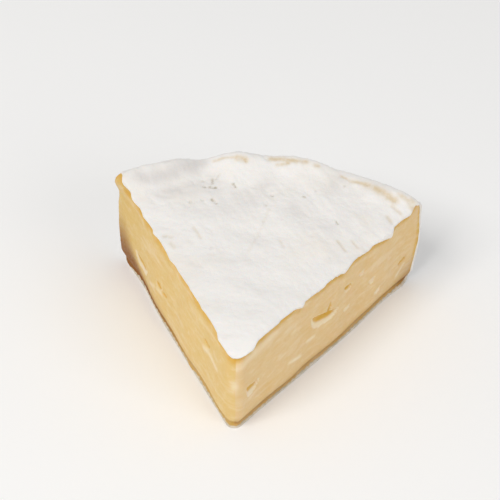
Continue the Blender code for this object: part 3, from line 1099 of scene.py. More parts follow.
@dataclass(frozen=True)
class RindFinish:
    """Dry, velvety white mould with grey patches and worn tan places; its grey also gives painted shade in
    the hollows and under the base.
    """

    white: tuple[float, float, float] = (0.882, 0.860, 0.834)
    # Grey of the mould's patches, also the colour of the painted shade in the hollows and under the base
    grey: tuple[float, float, float] = (0.700, 0.672, 0.650)
    tan: tuple[float, float, float] = (0.715, 0.588, 0.405)
    cream: tuple[float, float, float] = (0.830, 0.765, 0.665)
    olive: tuple[float, float, float] = (0.450, 0.395, 0.280)
    slant: tuple[float, float, float] = (0.45, 1.0, 1.0)
    slant_turn: float = 52.0
    patch_size: float = 0.0040
    patch_span: tuple[float, float] = (0.50, 0.78)
    patch_grey: float = 0.30
    cloud_size: float = 0.0110
    cloud_span: tuple[float, float] = (0.48, 0.75)
    cloud_cream: float = 0.35
    # Spans of four numbers: where a soft step starts and ends, and its results there
    rough_span: tuple[float, ...] = (0.3, 0.7, 0.95, 0.80)
    break_size: float = 0.0021
    break_span: tuple[float, ...] = (0.40, 0.56, 0.68, 1.12)
    crumb_size: float = 0.0011
    crumb_span: tuple[float, ...] = (0.40, 0.60, 0.30, 1.10)
    felt_size: float = 0.00045
    felt_height: float = 0.00016
    wrinkle_size: float = 0.0016
    wrinkle_height: float = 0.00022

    def material(self) -> bpy.types.Material:
        """Builds the rind's nodes.

        Returns:
            The finished material.
        """
        chart = Chart("white_mould_rind")
        place = chart.coordinates()
        slanted = chart.coordinates(self.slant, self.slant_turn)
        patches = chart.noise(slanted, self.patch_size, detail=4.0, warp=0.4)
        cloud = chart.noise(place, self.cloud_size, detail=3.0)
        gaps = chart.noise(place, self.break_size, detail=4.0)
        crumbs = chart.noise(place, self.crumb_size, detail=3.0, warp=0.4)

        greyness = chart.sum(chart.span(patches, *self.patch_span), self.patch_grey, Step.MULTIPLY)
        # The grey attribute adds painted shade in the hollow and under the base, and the grey of scratches
        greyness = chart.sum(greyness, chart.attribute("grey"), Step.ADD)
        broken = chart.span(gaps, *self.break_span)
        tan = chart.sum(chart.attribute("tan"), broken, Step.MULTIPLY)
        creamy = chart.sum(chart.span(cloud, *self.cloud_span), self.cloud_cream, Step.MULTIPLY)
        creamy = chart.sum(creamy, chart.attribute("cream"), Step.ADD)

        colour = chart.blend(creamy, self.white, self.cream)
        colour = chart.blend(greyness, colour, self.grey)
        colour = chart.blend(tan, colour, self.tan)
        speck = chart.sum(chart.attribute("speck"), chart.span(crumbs, *self.crumb_span), Step.MULTIPLY)
        colour = chart.blend(chart.capped(speck), colour, self.olive)
        chart.join(colour, chart.shader.inputs["Base Color"])
        chart.join(chart.span(patches, *self.rough_span), chart.shader.inputs["Roughness"])
        chart.settle(
            {
                "Sheen Weight": 0.25,
                "Sheen Roughness": 0.6,
                "Specular IOR Level": 0.25,
                "Subsurface Weight": 0.10,
                "Subsurface Radius": (1.0, 0.7, 0.5),
                "Subsurface Scale": 0.0010,
            }
        )

        felt = chart.noise(place, self.felt_size, detail=5.0, warp=0.3)
        wrinkles = chart.noise(slanted, self.wrinkle_size, detail=4.0, warp=0.6)
        normal = chart.bump(felt, self.felt_height, strength=0.60)
        normal = chart.bump(wrinkles, self.wrinkle_height, strength=0.40, before=normal)
        chart.join(normal, chart.shader.inputs["Normal"])
        return chart.material


@dataclass(frozen=True)
class PasteFinish:
    """Moist golden paste with knife streaks, golden under the rind and browner at the foot; the brown and
    gold also carry painted shade, and the pale painted light.
    """

    cream: tuple[float, float, float] = (0.785, 0.562, 0.290)
    # Pale also gives painted light on ledges, streaks and tip; gold painted shade in the eyes; brown painted
    # shade at crease, foot and corners
    pale: tuple[float, float, float] = (0.900, 0.755, 0.530)
    gold: tuple[float, float, float] = (0.690, 0.395, 0.050)
    ripe: tuple[float, float, float] = (0.765, 0.535, 0.175)
    brown: tuple[float, float, float] = (0.270, 0.100, 0.010)
    streak_stretch: tuple[float, float, float] = (1.0, 1.0, 5.0)
    streak_size: float = 0.0110
    streak_span: tuple[float, float] = (0.50, 0.80)
    streak_pale: float = 0.32
    streak_height: float = 0.00030
    cloud_size: float = 0.0070
    cloud_span: tuple[float, float] = (0.45, 0.75)
    cloud_gold: float = 0.14
    mottle_stretch: tuple[float, float, float] = (1.0, 1.0, 1.8)
    mottle_size: float = 0.0026
    mottle_height: float = 0.00025
    # Spans of four numbers: where a soft step starts and ends, and its results there
    mottle_pale_span: tuple[float, ...] = (0.50, 0.30, 0.0, 0.20)
    mottle_gold_span: tuple[float, ...] = (0.50, 0.72, 0.0, 0.14)
    rough_span: tuple[float, ...] = (0.3, 0.7, 0.40, 0.58)
    speckle_size: float = 0.0007
    speckle_height: float = 0.00010

    def material(self) -> bpy.types.Material:
        """Builds the paste's nodes.

        Returns:
            The finished material.
        """
        chart = Chart("creamy_paste")
        place = chart.coordinates()
        streak_place = chart.coordinates(self.streak_stretch)
        streaked = chart.noise(streak_place, self.streak_size, detail=2.0, warp=0.3)
        cloud = chart.noise(place, self.cloud_size, detail=3.0, warp=0.3)
        mottle_place = chart.coordinates(self.mottle_stretch)
        mottle = chart.noise(mottle_place, self.mottle_size, detail=4.0, warp=0.3)
        speckle = chart.noise(place, self.speckle_size, detail=3.0)

        paleness = chart.sum(chart.span(streaked, *self.streak_span), self.streak_pale, Step.MULTIPLY)
        paleness = chart.sum(paleness, chart.span(mottle, *self.mottle_pale_span), Step.ADD)
        paleness = chart.sum(paleness, chart.attribute("pale"), Step.ADD)
        goldness = chart.sum(chart.span(cloud, *self.cloud_span), self.cloud_gold, Step.MULTIPLY)
        goldness = chart.sum(goldness, chart.span(mottle, *self.mottle_gold_span), Step.ADD)
        goldness = chart.sum(goldness, chart.attribute("gold"), Step.ADD)

        colour = chart.blend(chart.attribute("ripe"), self.cream, self.ripe)
        colour = chart.blend(chart.capped(goldness), colour, self.gold)
        colour = chart.blend(chart.capped(paleness), colour, self.pale)
        colour = chart.blend(chart.capped(chart.attribute("brown")), colour, self.brown)
        chart.join(colour, chart.shader.inputs["Base Color"])
        chart.join(chart.span(speckle, *self.rough_span), chart.shader.inputs["Roughness"])
        chart.settle(
            {
                "Specular IOR Level": 0.30,
                "Subsurface Weight": 0.25,
                "Subsurface Radius": (1.0, 0.55, 0.22),
                "Subsurface Scale": 0.0009,
            }
        )

        normal = chart.bump(speckle, self.speckle_height, strength=0.5)
        normal = chart.bump(mottle, self.mottle_height, strength=0.25, before=normal)
        normal = chart.bump(streaked, self.streak_height, strength=0.12, before=normal)
        chart.join(normal, chart.shader.inputs["Normal"])
        return chart.material


@dataclass(frozen=True)
class FloorFinish:
    """Plain pale studio floor with the faintest unevenness."""

    pale: tuple[float, float, float] = (0.955, 0.955, 0.955)
    paler: tuple[float, float, float] = (0.975, 0.975, 0.973)
    cloud_size: float = 0.12

    def material(self) -> bpy.types.Material:
        """Builds the floor's nodes.

        Returns:
            The finished material.
        """
        chart = Chart("pale_floor")
        cloud = chart.noise(chart.coordinates(), self.cloud_size, detail=2.0)
        chart.join(chart.blend(cloud, self.pale, self.paler), chart.shader.inputs["Base Color"])
        chart.settle({"Roughness": 0.75})
        return chart.material


@dataclass(frozen=True)
class MouldFelt:
    """Fine relief and marks of the mould on the crust and the rim, and marks of painted shade in the hollow.
    """

    flake_heading: float = -55.0
    flake_stretch: float = 0.42
    broad_felt: float = 0.00012
    broad_size: float = 0.0085
    flake_felt: float = 0.00015
    flake_size: float = 0.0036
    flake_steps: float = 2.4
    chip_felt: float = 0.00007
    chip_size: float = 0.0014
    chip_steps: float = 2.0
    grain_felt: float = 0.00007
    grain_size: float = 0.0012
    front_rough: float = 0.5
    rear_rougher: float = 0.8
    rear_span: tuple[float, float] = (0.030, 0.056)
    level_least: float = 0.3
    speck_depth: float = 0.00035
    scratch_depth: float = 0.00022
    worn_depth: float = 0.00015
    # Small pits and specks of the crust
    specks: tuple[Mark, ...] = (
        Mark((-0.0149, 0.0622), (-0.0147, 0.0600), 0.00025, 0.54),
        Mark((-0.0152, 0.0586), (-0.0138, 0.0587), 0.00036, 0.90),
        Mark((-0.0133, 0.0634), (-0.0141, 0.0618), 0.00025, 0.45),
        Mark((-0.0172, 0.0612), (-0.0171, 0.0610), 0.00032, 0.54),
        Mark((-0.0167, 0.0586), (-0.0165, 0.0585), 0.00032, 0.72),
        Mark((-0.0095, 0.0605), (-0.0088, 0.0597), 0.00032, 0.81),
        Mark((-0.0143, 0.0543), (-0.0131, 0.0531), 0.00032, 0.81),
        Mark((-0.0196, 0.0529), (-0.0195, 0.0527), 0.00032, 0.54),
        Mark((-0.0168, 0.0539), (-0.0166, 0.0537), 0.00029, 0.36),
        Mark((-0.0010, 0.0536), (-0.0008, 0.0534), 0.00030, 0.54),
        Mark((0.0000, 0.0524), (0.0002, 0.0522), 0.00030, 0.54),
        Mark((-0.0010, 0.0484), (-0.0010, 0.0482), 0.00029, 0.36),
        Mark((0.0004, 0.0575), (0.0006, 0.0574), 0.00036, 0.63),
        Mark((0.0083, 0.0577), (0.0086, 0.0575), 0.00029, 0.63),
        Mark((0.0183, 0.0627), (0.0184, 0.0624), 0.00029, 0.36),
        Mark((0.0112, 0.0600), (0.0114, 0.0598), 0.00029, 0.27),
        Mark((-0.0247, 0.0407), (-0.0244, 0.0405), 0.00029, 0.54),
        Mark((-0.0130, 0.0374), (-0.0129, 0.0372), 0.00029, 0.36),
        Mark((0.0168, 0.0503), (0.0171, 0.0494), 0.00029, 0.54),
    )
    # Slanted scratches of the crust
    scratches: tuple[Mark, ...] = (
        Mark((-0.0244, 0.0407), (-0.0227, 0.0402), 0.0004, 0.5),
        Mark((-0.0228, 0.0383), (-0.0217, 0.0369), 0.0004, 0.5),
        Mark((-0.0178, 0.0435), (-0.0158, 0.0403), 0.0004, 0.5),
        Mark((0.0305, 0.0573), (0.0325, 0.0556), 0.0004, 0.8),
        Mark((0.0293, 0.0541), (0.0301, 0.0525), 0.0005, 0.9),
        Mark((0.0331, 0.0545), (0.0333, 0.0541), 0.0004, 0.5),
        Mark((0.0172, 0.0433), (0.0192, 0.0405), 0.0004, 0.8),
        Mark((0.0207, 0.0443), (0.0220, 0.0424), 0.0004, 0.6),
        Mark((0.0032, 0.0418), (0.0043, 0.0396), 0.0004, 0.4),
        Mark((-0.0002, 0.0515), (-0.0021, 0.0436), 0.0004, 0.2),
        Mark((-0.0021, 0.0436), (-0.0041, 0.0371), 0.0004, 0.2),
    )
    # Worn tan places at the rim
    worn: tuple[Mark, ...] = (
        Mark((0.0175, 0.0660), (0.0202, 0.0643), 0.0004, 0.70),
        Mark((0.0202, 0.0643), (0.0236, 0.0634), 0.0006, 0.80),
        Mark((0.0236, 0.0634), (0.0262, 0.0621), 0.0009, 0.85),
        Mark((0.0262, 0.0621), (0.0283, 0.0607), 0.0011, 0.90),
        Mark((0.0283, 0.0607), (0.0309, 0.0589), 0.0011, 0.85),
        Mark((0.0321, 0.0605), (0.0350, 0.0591), 0.0008, 0.60),
        Mark((0.0350, 0.0591), (0.0353, 0.0576), 0.0010, 0.70),
        Mark((-0.0150, 0.0673), (-0.0091, 0.0674), 0.0004, 0.62),
        Mark((-0.0091, 0.0672), (-0.0071, 0.0672), 0.0008, 0.90),
        Mark((-0.0070, 0.0667), (-0.0068, 0.0666), 0.0004, 1.00),
        Mark((-0.0008, 0.0690), (0.0035, 0.0686), 0.0008, 0.85),
        Mark((0.0035, 0.0686), (0.0082, 0.0684), 0.0008, 0.90),
        Mark((0.0037, 0.0677), (0.0038, 0.0677), 0.0006, 1.00),
        Mark((0.0012, 0.0671), (0.0033, 0.0672), 0.0005, 0.70),
        Mark((0.0108, 0.0676), (0.0114, 0.0675), 0.0006, 0.80),
    )
    # Painted shade: grey in the hollow of the crust and beside it, where shadow falls
    painted_shade_marks: tuple[Mark, ...] = (
        Mark((-0.0333, 0.0582), (-0.0280, 0.0594), 0.0015, 0.75),
        Mark((-0.0290, 0.0594), (-0.0240, 0.0620), 0.0019, 0.90),
        Mark((-0.0250, 0.0618), (-0.0205, 0.0645), 0.0022, 0.90),
        Mark((-0.0212, 0.0645), (-0.0177, 0.0668), 0.0017, 0.85),
        Mark((-0.0260, 0.0570), (-0.0150, 0.0570), 0.0035, 0.35),
        Mark((-0.0110, 0.0540), (-0.0050, 0.0545), 0.0030, 0.30),
        Mark((0.0084, 0.0517), (0.0060, 0.0530), 0.0022, 0.40),
        Mark((0.0167, 0.0647), (0.0150, 0.0610), 0.0022, 0.35),
        Mark((-0.0011, 0.0622), (-0.0022, 0.0593), 0.0020, 0.30),
    )

    def relief(self, skin: Skin) -> np.ndarray:
        """Fine outward relief of the mould: cloud, slanted flakes, chips and grain, less pits and scratches.

        Args:
            skin: places on the outer skin.

        Returns:
            How far each point stands out.
        """
        places = np.column_stack([skin.plan, skin.height])
        along, across = turned(skin.plan, self.flake_heading)
        slanted = np.column_stack([along * self.flake_stretch, across, skin.height])
        relief = self.broad_felt * Grain(Seed.BROAD_FELT).cloud(places, self.broad_size, 2)
        rougher = self.front_rough + self.rear_rougher * smooth(*self.rear_span, skin.plan[:, 1])
        flakes = Grain(Seed.FLAKES).flakes(slanted, self.flake_size, self.flake_steps)
        relief += self.flake_felt * rougher * flakes
        chips = Grain(Seed.CHIPS).flakes(slanted, self.chip_size, self.chip_steps)
        relief += self.chip_felt * rougher * chips
        relief += self.grain_felt * Grain(Seed.GRAINS).cloud(places, self.grain_size, 2)
        level = skin.out_up > self.level_least
        hollows = (
            (self.specks, self.speck_depth),
            (self.scratches, self.scratch_depth),
            (self.worn, self.worn_depth),
        )
        for marks, depth in hollows:
            relief -= np.where(level, depth * marked(marks, skin.plan), 0.0)
        return np.where(skin.out_up < BASE_OUT_UP, 0.0, relief)


@dataclass(frozen=True)
class RindShell:
    """The rind as one folded shell: crust, rim and base, with a torn edge at both cuts."""

    form: WedgeForm
    cut: CutRelief
    mould: MouldFelt
    finish: RindFinish
    cells: int = 188
    wall_rows: int = 54
    edge_rows: int = 4
    top_thickness: float = 0.0013
    rim_thickness: float = 0.0009
    foot_thickness: float = 0.0010
    rim_edge: float = 0.0005
    foot_edge: float = 0.0006
    least_edge: float = 0.00018
    right_rim_lift: float = 0.00012
    left_rim_lift: float = -0.00035
    foot_lift: float = 0.0001
    edge_reach: float = 0.0012
    frill_hang: float = 0.00120
    tatter: float = 0.00030
    tatter_length: float = 0.0009
    tatter_offset: float = 0.1
    tatter_turn: float = 0.3
    foot_ragged: float = 0.4
    strip_proud: float = 0.00020
    tear_sway: float = 0.00008
    tear_length: float = 0.0026
    tear_offset: float = 0.2
    tear_span: tuple[float, float] = (0.0020, 0.0050)
    rim_inset_span: tuple[float, float] = (0.0020, 0.0005)
    rim_drop_span: tuple[float, float] = (0.0008, 0.0030)
    foot_span: tuple[float, float] = (0.0006, 0.0012)
    level_least: float = 0.2
    scratch_tan: float = 0.5
    scratch_cream: float = 0.5
    scratch_grey: float = 0.3
    speck_gain: float = 1.2
    inner_cream: float = 0.3
    torn_cream: float = 0.2
    # Added under the base: name, and shares on the outer skin, the inner skin and the torn strip; the grey
    # is painted shade
    base_shades: tuple[tuple[str, float, float, float], ...] = (
        ("tan", 0.0, 0.8, 0.7),
        ("cream", 0.0, 0.0, 0.4),
        ("grey", 0.5, 0.5, 0.9),
        ("speck", 0.0, 0.6, 0.5),
    )

    def thickness(self, skin: Skin) -> np.ndarray:
        """Thickness of the rind: its kind's own inside, torn at the cuts by teeth and tatters.

        Args:
            skin: places on the outer skin.

        Returns:
            The thickness at each place.
        """
        up = np.clip(skin.out_up, 0.0, 1.0)
        down = np.clip(-skin.out_up, 0.0, 1.0)
        rim = 1.0 - up - down
        inside = self.top_thickness * up + self.foot_thickness * down + self.rim_thickness * rim
        total = inside
        for side in Side:
            plan = skin.plan - self.form.tip_point
            inward = np.maximum(-(plan @ self.form.cut_normal(side)), 0.0)
            along = plan @ self.form.cut_direction(side)
            line = cut_line(side, along, self.tatter_offset)
            line[:, 2] = self.tatter_turn * skin.out_up
            ragged = self.frill_hang * self.cut.frill(side, along)
            ragged = ragged + self.tatter * Grain(Seed.TATTERS).noise(line, self.tatter_length)
            top = self.cut.rind_thickness + self.cut.tooth_hang * self.cut.teeth(side, along) + ragged
            foot = self.foot_edge + self.foot_ragged * ragged
            edge = np.maximum(top * up + foot * down + self.rim_edge * rim, self.least_edge)
            total = total + (edge - inside) * bell(inward, 0.0, self.edge_reach)
        return np.maximum(total, self.least_edge)

    def relief(self, side: Side, along: np.ndarray, drop: np.ndarray, rise: np.ndarray) -> np.ndarray:
        """Outward relief of the shell beside a cut: the paste's broad relief, the lip and the rim's own.

        Args:
            side: which cut.
            along: distances from the tip.
            drop: distances below the crust.
            rise: heights above the base.

        Returns:
            The outward relief of each point.
        """
        relief = self.cut.broad(side, along, drop, rise) + self.cut.lip(side, along, drop)
        far, near = self.rim_inset_span
        length = self.form.cut_length(side)
        on_rim = smooth(length - far, length - near, along) * smooth(*self.rim_drop_span, drop)
        lift = self.left_rim_lift if side == Side.LEFT else self.right_rim_lift
        line = cut_line(side, along, self.tear_offset)
        proud = self.strip_proud - self.tear_sway * Grain(Seed.TEAR).cloud(line, self.tear_length, 2)
        relief = relief + proud * (1.0 - smooth(*self.tear_span, drop))
        return relief + lift * on_rim + self.foot_lift * (1.0 - smooth(*self.foot_span, rise))

    def placed(self, skin: Skin, depth: np.ndarray) -> np.ndarray:
        """Points of the shell at a depth under the outer skin."""
        plan, height = skin.sunk(depth, self.form.tip_point)
        return self.cut.placed(plan, height, skin.crown, self.relief)

    def shades(self, skin: Skin, ring: np.ndarray) -> dict[str, np.ndarray]:
        """Colour shares of the shell: the mould's marks on the crust with painted shade in its hollow, and
        painted shade, greyer and browner, under the base and where it is torn.

        Args:
            skin: places on the outer skin.
            ring: the border's points, in order.

        Returns:
            Shares of tan, cream, grey and speck by name, for the outer skin, inner skin and strip.
        """
        mould = self.mould
        level = np.where(skin.out_up > self.level_least, 1.0, 0.0)
        below = np.where(skin.out_up < BASE_OUT_UP, 1.0, 0.0)
        strip_below = np.tile(below[ring], self.edge_rows - 1)
        scratched = marked(mould.scratches, skin.plan) * level
        crust = {
            "tan": marked(mould.worn, skin.plan) * level + self.scratch_tan * scratched,
            "cream": self.scratch_cream * scratched,
            # Grey of the scratches, and painted shade in the hollow
            "grey": marked(mould.painted_shade_marks, skin.plan) * level + self.scratch_grey * scratched,
            "speck": np.minimum(self.speck_gain * marked(mould.specks, skin.plan), 1.0) * level,
        }
        inside, torn = {"cream": self.inner_cream}, {"cream": self.torn_cream}
        shades = {}
        for name, outer_share, inner_share, torn_share in self.base_shades:
            outer = crust[name] + outer_share * below
            inner = inside.get(name, 0.0) + inner_share * below
            strip = torn.get(name, 0.0) + torn_share * strip_below
            shades[name] = np.concatenate([outer, inner, strip])
        return shades

    def build(self) -> bpy.types.Object:
        """Builds the shell: outer skin, inner skin and the torn edge between them.

        Returns:
            The finished piece.
        """
        layout = SkinLayout(self.cells, self.wall_rows)
        skin = layout.skin(self.form)
        felt, thick = self.mould.relief(skin), self.thickness(skin)
        ring = layout.ring()
        border = skin.picked(ring)
        points = [self.placed(skin, -felt), self.placed(skin, thick - felt)]
        for row in range(1, self.edge_rows):
            share = row / self.edge_rows
            points.append(self.placed(border, thick[ring] * share - felt[ring]))

        levels = [ring]
        for row in range(self.edge_rows - 1):
            levels.append(2 * layout.size + row * len(ring) + np.arange(len(ring)))
        levels.append(ring + layout.size)
        strip = np.stack(levels, axis=1)
        strip = np.concatenate([strip, strip[:1]])
        outer = layout.faces()
        faces = np.concatenate([outer, outer[:, ::-1] + layout.size, sheet_faces(strip, False)])
        shades = self.shades(skin, ring)
        return make_piece("rind_shell", np.concatenate(points), faces, shades, self.finish.material())


@dataclass(frozen=True)
class PasteBody:
    """The paste: two fine cut faces with eyes, closed by a plain skin hidden under the rind."""

    form: WedgeForm
    cut: CutRelief
    mould: MouldFelt
    finish: PasteFinish
    cells: int = 196
    wall_rows: int = 90
    cover: float = 0.0006
    edge_cover: float = 0.00012
    cover_reach: float = 0.0010
    left_bulge: float = 0.0002
    left_bulge_length: float = 0.0025
    lump: float = 0.00016
    lump_length: float = 0.0075
    drag: float = 0.00002
    drag_length: float = 0.0024
    drag_stretch: float = 0.12
    drag_turn: float = 4.0
    noise_offset: float = 0.2
    streak_proud: float = 0.00010
    calm_span: tuple[float, float] = (0.0010, 0.0030)
    left_bulge_span: tuple[float, float] = (0.0015, 0.0040)
    on_cut: float = 1e-5
    # Shades of both cuts: spans run in metres, and those called share in shares of the cut's length
    gold_line: float = 0.85
    foot_gold: float = 0.45
    # Strengths of the painted light on ledges and streaks, and of the painted shade that dims the pits
    light_paste: float = 0.85
    pit_dimming: float = 0.9
    # Painted shade, brown, in the crease above the base rind: its height and half width
    crease_rise: float = 0.0018
    crease_width: float = 0.0008
    # Painted highlight on the rounded tip's edge: its strength, its place along and up, and its half length
    # and height
    tip_light: float = 0.65
    tip_light_place: tuple[float, float] = (0.0002, 0.0158)
    tip_light_width: tuple[float, float] = (0.0011, 0.0020)
    # Shades of the right cut; its brown foot is partly the paste's own tone and partly painted shade, its
    # rear corner painted shade
    right_gold_span: tuple[float, float] = (0.0009, 0.0024)
    rim_gold: float = 0.8
    rim_inset_span: tuple[float, float] = (0.0016, 0.0004)
    front_pale: float = 0.55
    front_span: tuple[float, float] = (0.012, 0.022)
    front_drop: float = 0.0041
    front_width: float = 0.0013
    foot_span: tuple[float, float] = (0.0012, 0.0050)
    corner_share_span: tuple[float, float] = (0.86, 1.0)
    corner_rise_span: tuple[float, float] = (0.003, 0.012)
    right_crease_painted_shade: float = 0.38
    right_foot_brown: float = 0.20
    right_corner_shade_brown: float = 0.45
    right_ripe: float = 0.10
    right_corner_shade_in_ripe_tone: float = 0.2
    # Shades of the left cut, whose brown foot grows towards the rear: partly the paste's own tone, partly
    # painted shade
    left_gold_span: tuple[float, float] = (0.0008, 0.0036)
    brown_low: float = 0.0032
    brown_mid: float = 0.0035
    brown_mid_share_span: tuple[float, float] = (0.30, 0.80)
    brown_high: float = 0.0130
    brown_high_share_span: tuple[float, float] = (0.80, 0.96)
    brown_fade: float = 0.2
    left_crease_painted_shade: float = 0.24
    left_foot_brown: float = 0.22
    left_foot_browner: float = 0.70
    browner_share_span: tuple[float, float] = (0.25, 0.85)
    rear_share_span: tuple[float, float] = (0.60, 1.0)
    rear_brown: float = 0.11
    left_ripe: float = 0.68
    rear_ripe: float = 0.32
    # Light streaks, partly smears and partly painted highlights: side, start along and height, end along and
    # height, half width, strength
    streaks: tuple[tuple[float, ...], ...] = (
        (Side.RIGHT, 0.0198, 0.0100, 0.0245, 0.0082, 0.0006, 0.9),
        (Side.RIGHT, 0.0271, 0.0115, 0.0295, 0.0112, 0.0006, 0.8),
        (Side.RIGHT, 0.0644, 0.0064, 0.0670, 0.0088, 0.0005, 0.9),
        (Side.RIGHT, 0.0207, 0.0196, 0.0238, 0.0189, 0.0006, 0.4),
        (Side.RIGHT, 0.0157, 0.0156, 0.0160, 0.0155, 0.0006, 0.5),
        (Side.LEFT, 0.0468, 0.0084, 0.0438, 0.0102, 0.0006, 0.6),
        (Side.LEFT, 0.0423, 0.0104, 0.0398, 0.0109, 0.0006, 0.7),
        (Side.LEFT, 0.0156, 0.0152, 0.0128, 0.0166, 0.0008, 0.7),
        (Side.LEFT, 0.0128, 0.0166, 0.0079, 0.0160, 0.0008, 0.8),
    )

    def streak(self, side: Side, along: np.ndarray, rise: np.ndarray) -> np.ndarray:
        """Light streaks, partly smears of dragged paste and partly painted highlights on the moist paste:
        bells about short lines.

        Args:
            side: which cut.
            along: distances from the tip.
            rise: heights above the base.

        Returns:
            The streaks' strength at each point.
        """
        total = np.zeros_like(along)
        places = np.column_stack([along, rise])
        for streak_side, x0, z0, x1, z1, width, strength in self.streaks:
            if streak_side == side:
                total = np.maximum(total, Mark((x0, z0), (x1, z1), width, strength).weight(places))
        return total

    def detail(self, side: Side, along: np.ndarray, rise: np.ndarray) -> np.ndarray:
        """Fine relief of a cut face: soft lumps, knife drag, streaks, less the eyes' pits.

        Args:
            side: which cut.
            along: distances from the tip.
            rise: heights above the base.

        Returns:
            The outward relief of each point.
        """
        flat = np.column_stack([along, rise, np.full_like(along, self.noise_offset * float(side))])
        run, across = turned(flat[:, :2], self.drag_turn * float(side))
        dragged = np.column_stack([run * self.drag_stretch, across, flat[:, 2]])
        relief = self.lump * Grain(Seed.LUMPS).cloud(flat, self.lump_length, 2)
        relief += self.drag * Grain(Seed.DRAG).cloud(dragged, self.drag_length, 2)
        relief += self.streak_proud * self.streak(side, along, rise)
        for eye in self.cut.eyes:
            if eye.side == side:
                relief -= eye.depth * eye.pit(along, rise)
        return relief

    def relief(self, side: Side, along: np.ndarray, drop: np.ndarray, rise: np.ndarray) -> np.ndarray:
        """Outward relief of a cut face: broad relief, detail that calms under the rind, a left bulge.

        Args:
            side: which cut.
            along: distances from the tip.
            drop: distances below the crust.
            rise: heights above the base.

        Returns:
            The outward relief of each point.
        """
        calm = smooth(*self.calm_span, drop)
        relief = self.cut.broad(side, along, drop, rise) + calm * self.detail(side, along, rise)
        if side == Side.LEFT:
            end = bell(along, self.form.cut_length(side), self.left_bulge_length)
            relief = relief + self.left_bulge * end * smooth(*self.left_bulge_span, rise)
        return relief

    def shades(
        self, side: Side, plan: np.ndarray, height: np.ndarray, crown: np.ndarray
    ) -> dict[str, np.ndarray]:
        """Colour shares of a cut face, with painted shade in the eyes, the crease, the foot and the rear
        corner, and painted light on the ledges, streaks and tip.

        Args:
            side: which cut.
            plan: flat places, before the relief.
            height: heights above the base.
            crown: height of the crust over each place.

        Returns:
            Shares of gold, pale, brown and ripe by name.
        """
        along = (plan - self.form.tip_point) @ self.form.cut_direction(side)
        length = self.form.cut_length(side)
        drop = crown - height
        torn = self.cut.rind_thickness + self.cut.tooth_hang * self.cut.teeth(side, along)
        # Painted shade in the eyes' backs and painted light on their ledges
        pits = np.zeros_like(along)
        ledges = np.zeros_like(along)
        for eye in self.cut.eyes:
            if eye.side == side:
                pits = np.maximum(pits, eye.shade(along, height))
                ledges = np.maximum(ledges, eye.glow(along, height))
        share = np.clip(along / length, 0.0, 1.0)
        # Painted shade in the crease above the base rind
        crease = bell(height, self.crease_rise, self.crease_width)
        # Painted light on the eyes' ledges, and light streaks that are partly painted highlights
        pale = self.light_paste * np.maximum(ledges, self.streak(side, along, height))
        if side == Side.RIGHT:
            under_rind = 1.0 - smooth(*self.right_gold_span, drop - torn)
            far, near = self.rim_inset_span
            rim = self.rim_gold * smooth(length - far, length - near, along)
            front = 1.0 - smooth(*self.front_span, along)
            front = self.front_pale * front * bell(drop, self.front_drop, self.front_width)
            pale = np.maximum(pale, front)
            # Browner foot: partly the paste's own tone, partly painted shade
            low = 1.0 - smooth(*self.foot_span, height)
            # Painted shade where the paste's rear lower corner turns under
            corner = smooth(*self.corner_share_span, share)
            corner = corner * (1.0 - smooth(*self.corner_rise_span, height))
            gold = np.maximum(self.gold_line * under_rind, rim)
            brown = self.right_crease_painted_shade * crease + self.right_foot_brown * low
            brown = brown + self.right_corner_shade_brown * corner
            ripe = self.right_ripe + self.right_corner_shade_in_ripe_tone * corner
        else:
            under_rind = 1.0 - smooth(*self.left_gold_span, drop - torn)
            # Brown foot, higher towards the rear: partly the paste's own tone, partly painted shade where
            # the paste turns under
            top = self.brown_low + self.brown_mid * smooth(*self.brown_mid_share_span, share)
            top = top + self.brown_high * smooth(*self.brown_high_share_span, share)
            low = 1.0 - smooth(self.brown_fade, 1.0, height / top)
            gold = self.gold_line * under_rind
            rear = smooth(*self.rear_share_span, share)
            foot = self.left_foot_brown + self.left_foot_browner * smooth(*self.browner_share_span, share)
            brown = self.left_crease_painted_shade * crease + foot * low + self.rear_brown * rear
            ripe = self.left_ripe + self.rear_ripe * rear
        # Gold at the foot is partly the paste's own tone and partly painted shade; the pits add painted
        # shade
        gold = gold + pits + self.foot_gold * low
        # Painted highlight on the rounded tip, and painted shade that dims the pale in the eyes' pits
        tip_along, tip_rise = self.tip_light_place
        tip_length, tip_height = self.tip_light_width
        lit_tip = bell(along, tip_along, tip_length) * bell(height, tip_rise, tip_height)
        pale = np.maximum(pale, self.tip_light * lit_tip) - self.pit_dimming * pits
        shades = {"gold": gold, "pale": pale, "brown": brown, "ripe": ripe}
        return {name: np.clip(values, 0.0, 1.0) for name, values in shades.items()}

    def build(self) -> bpy.types.Object:
        """Builds the body: the hidden skin first, then both cut faces on its border.

        Returns:
            The finished piece.
        """
        layout = SkinLayout(self.cells, self.wall_rows)
        skin = layout.skin(self.form)
        depth = np.full(layout.size, self.cover)
        for side in Side:
            inward = (skin.plan - self.form.tip_point) @ self.form.cut_normal(side)
            near = bell(np.minimum(inward, 0.0), 0.0, self.cover_reach)
            depth = np.minimum(depth, self.cover + (self.edge_cover - self.cover) * near)
        plan, height = skin.sunk(depth - self.mould.relief(skin), self.form.tip_point)
        plans, heights, crowns = [plan], [height], [skin.crown]
        faces = [layout.faces()]
        count = layout.size
        rows = self.wall_rows
        shares = layout.shares()

        upper_tip, lower_tip = 0, layout.size - layout.sector_size
        tip_column = np.concatenate([[upper_tip], count + np.arange(rows - 2), [lower_tip]])
        plans.append(np.repeat(plan[:1], rows - 2, axis=0))
        heights.append(height[upper_tip] + (height[lower_tip] - height[upper_tip]) * shares[1:-1])
        crowns.append(np.full(rows - 2, skin.crown[0]))
        count += rows - 2
        sides = [None, None]

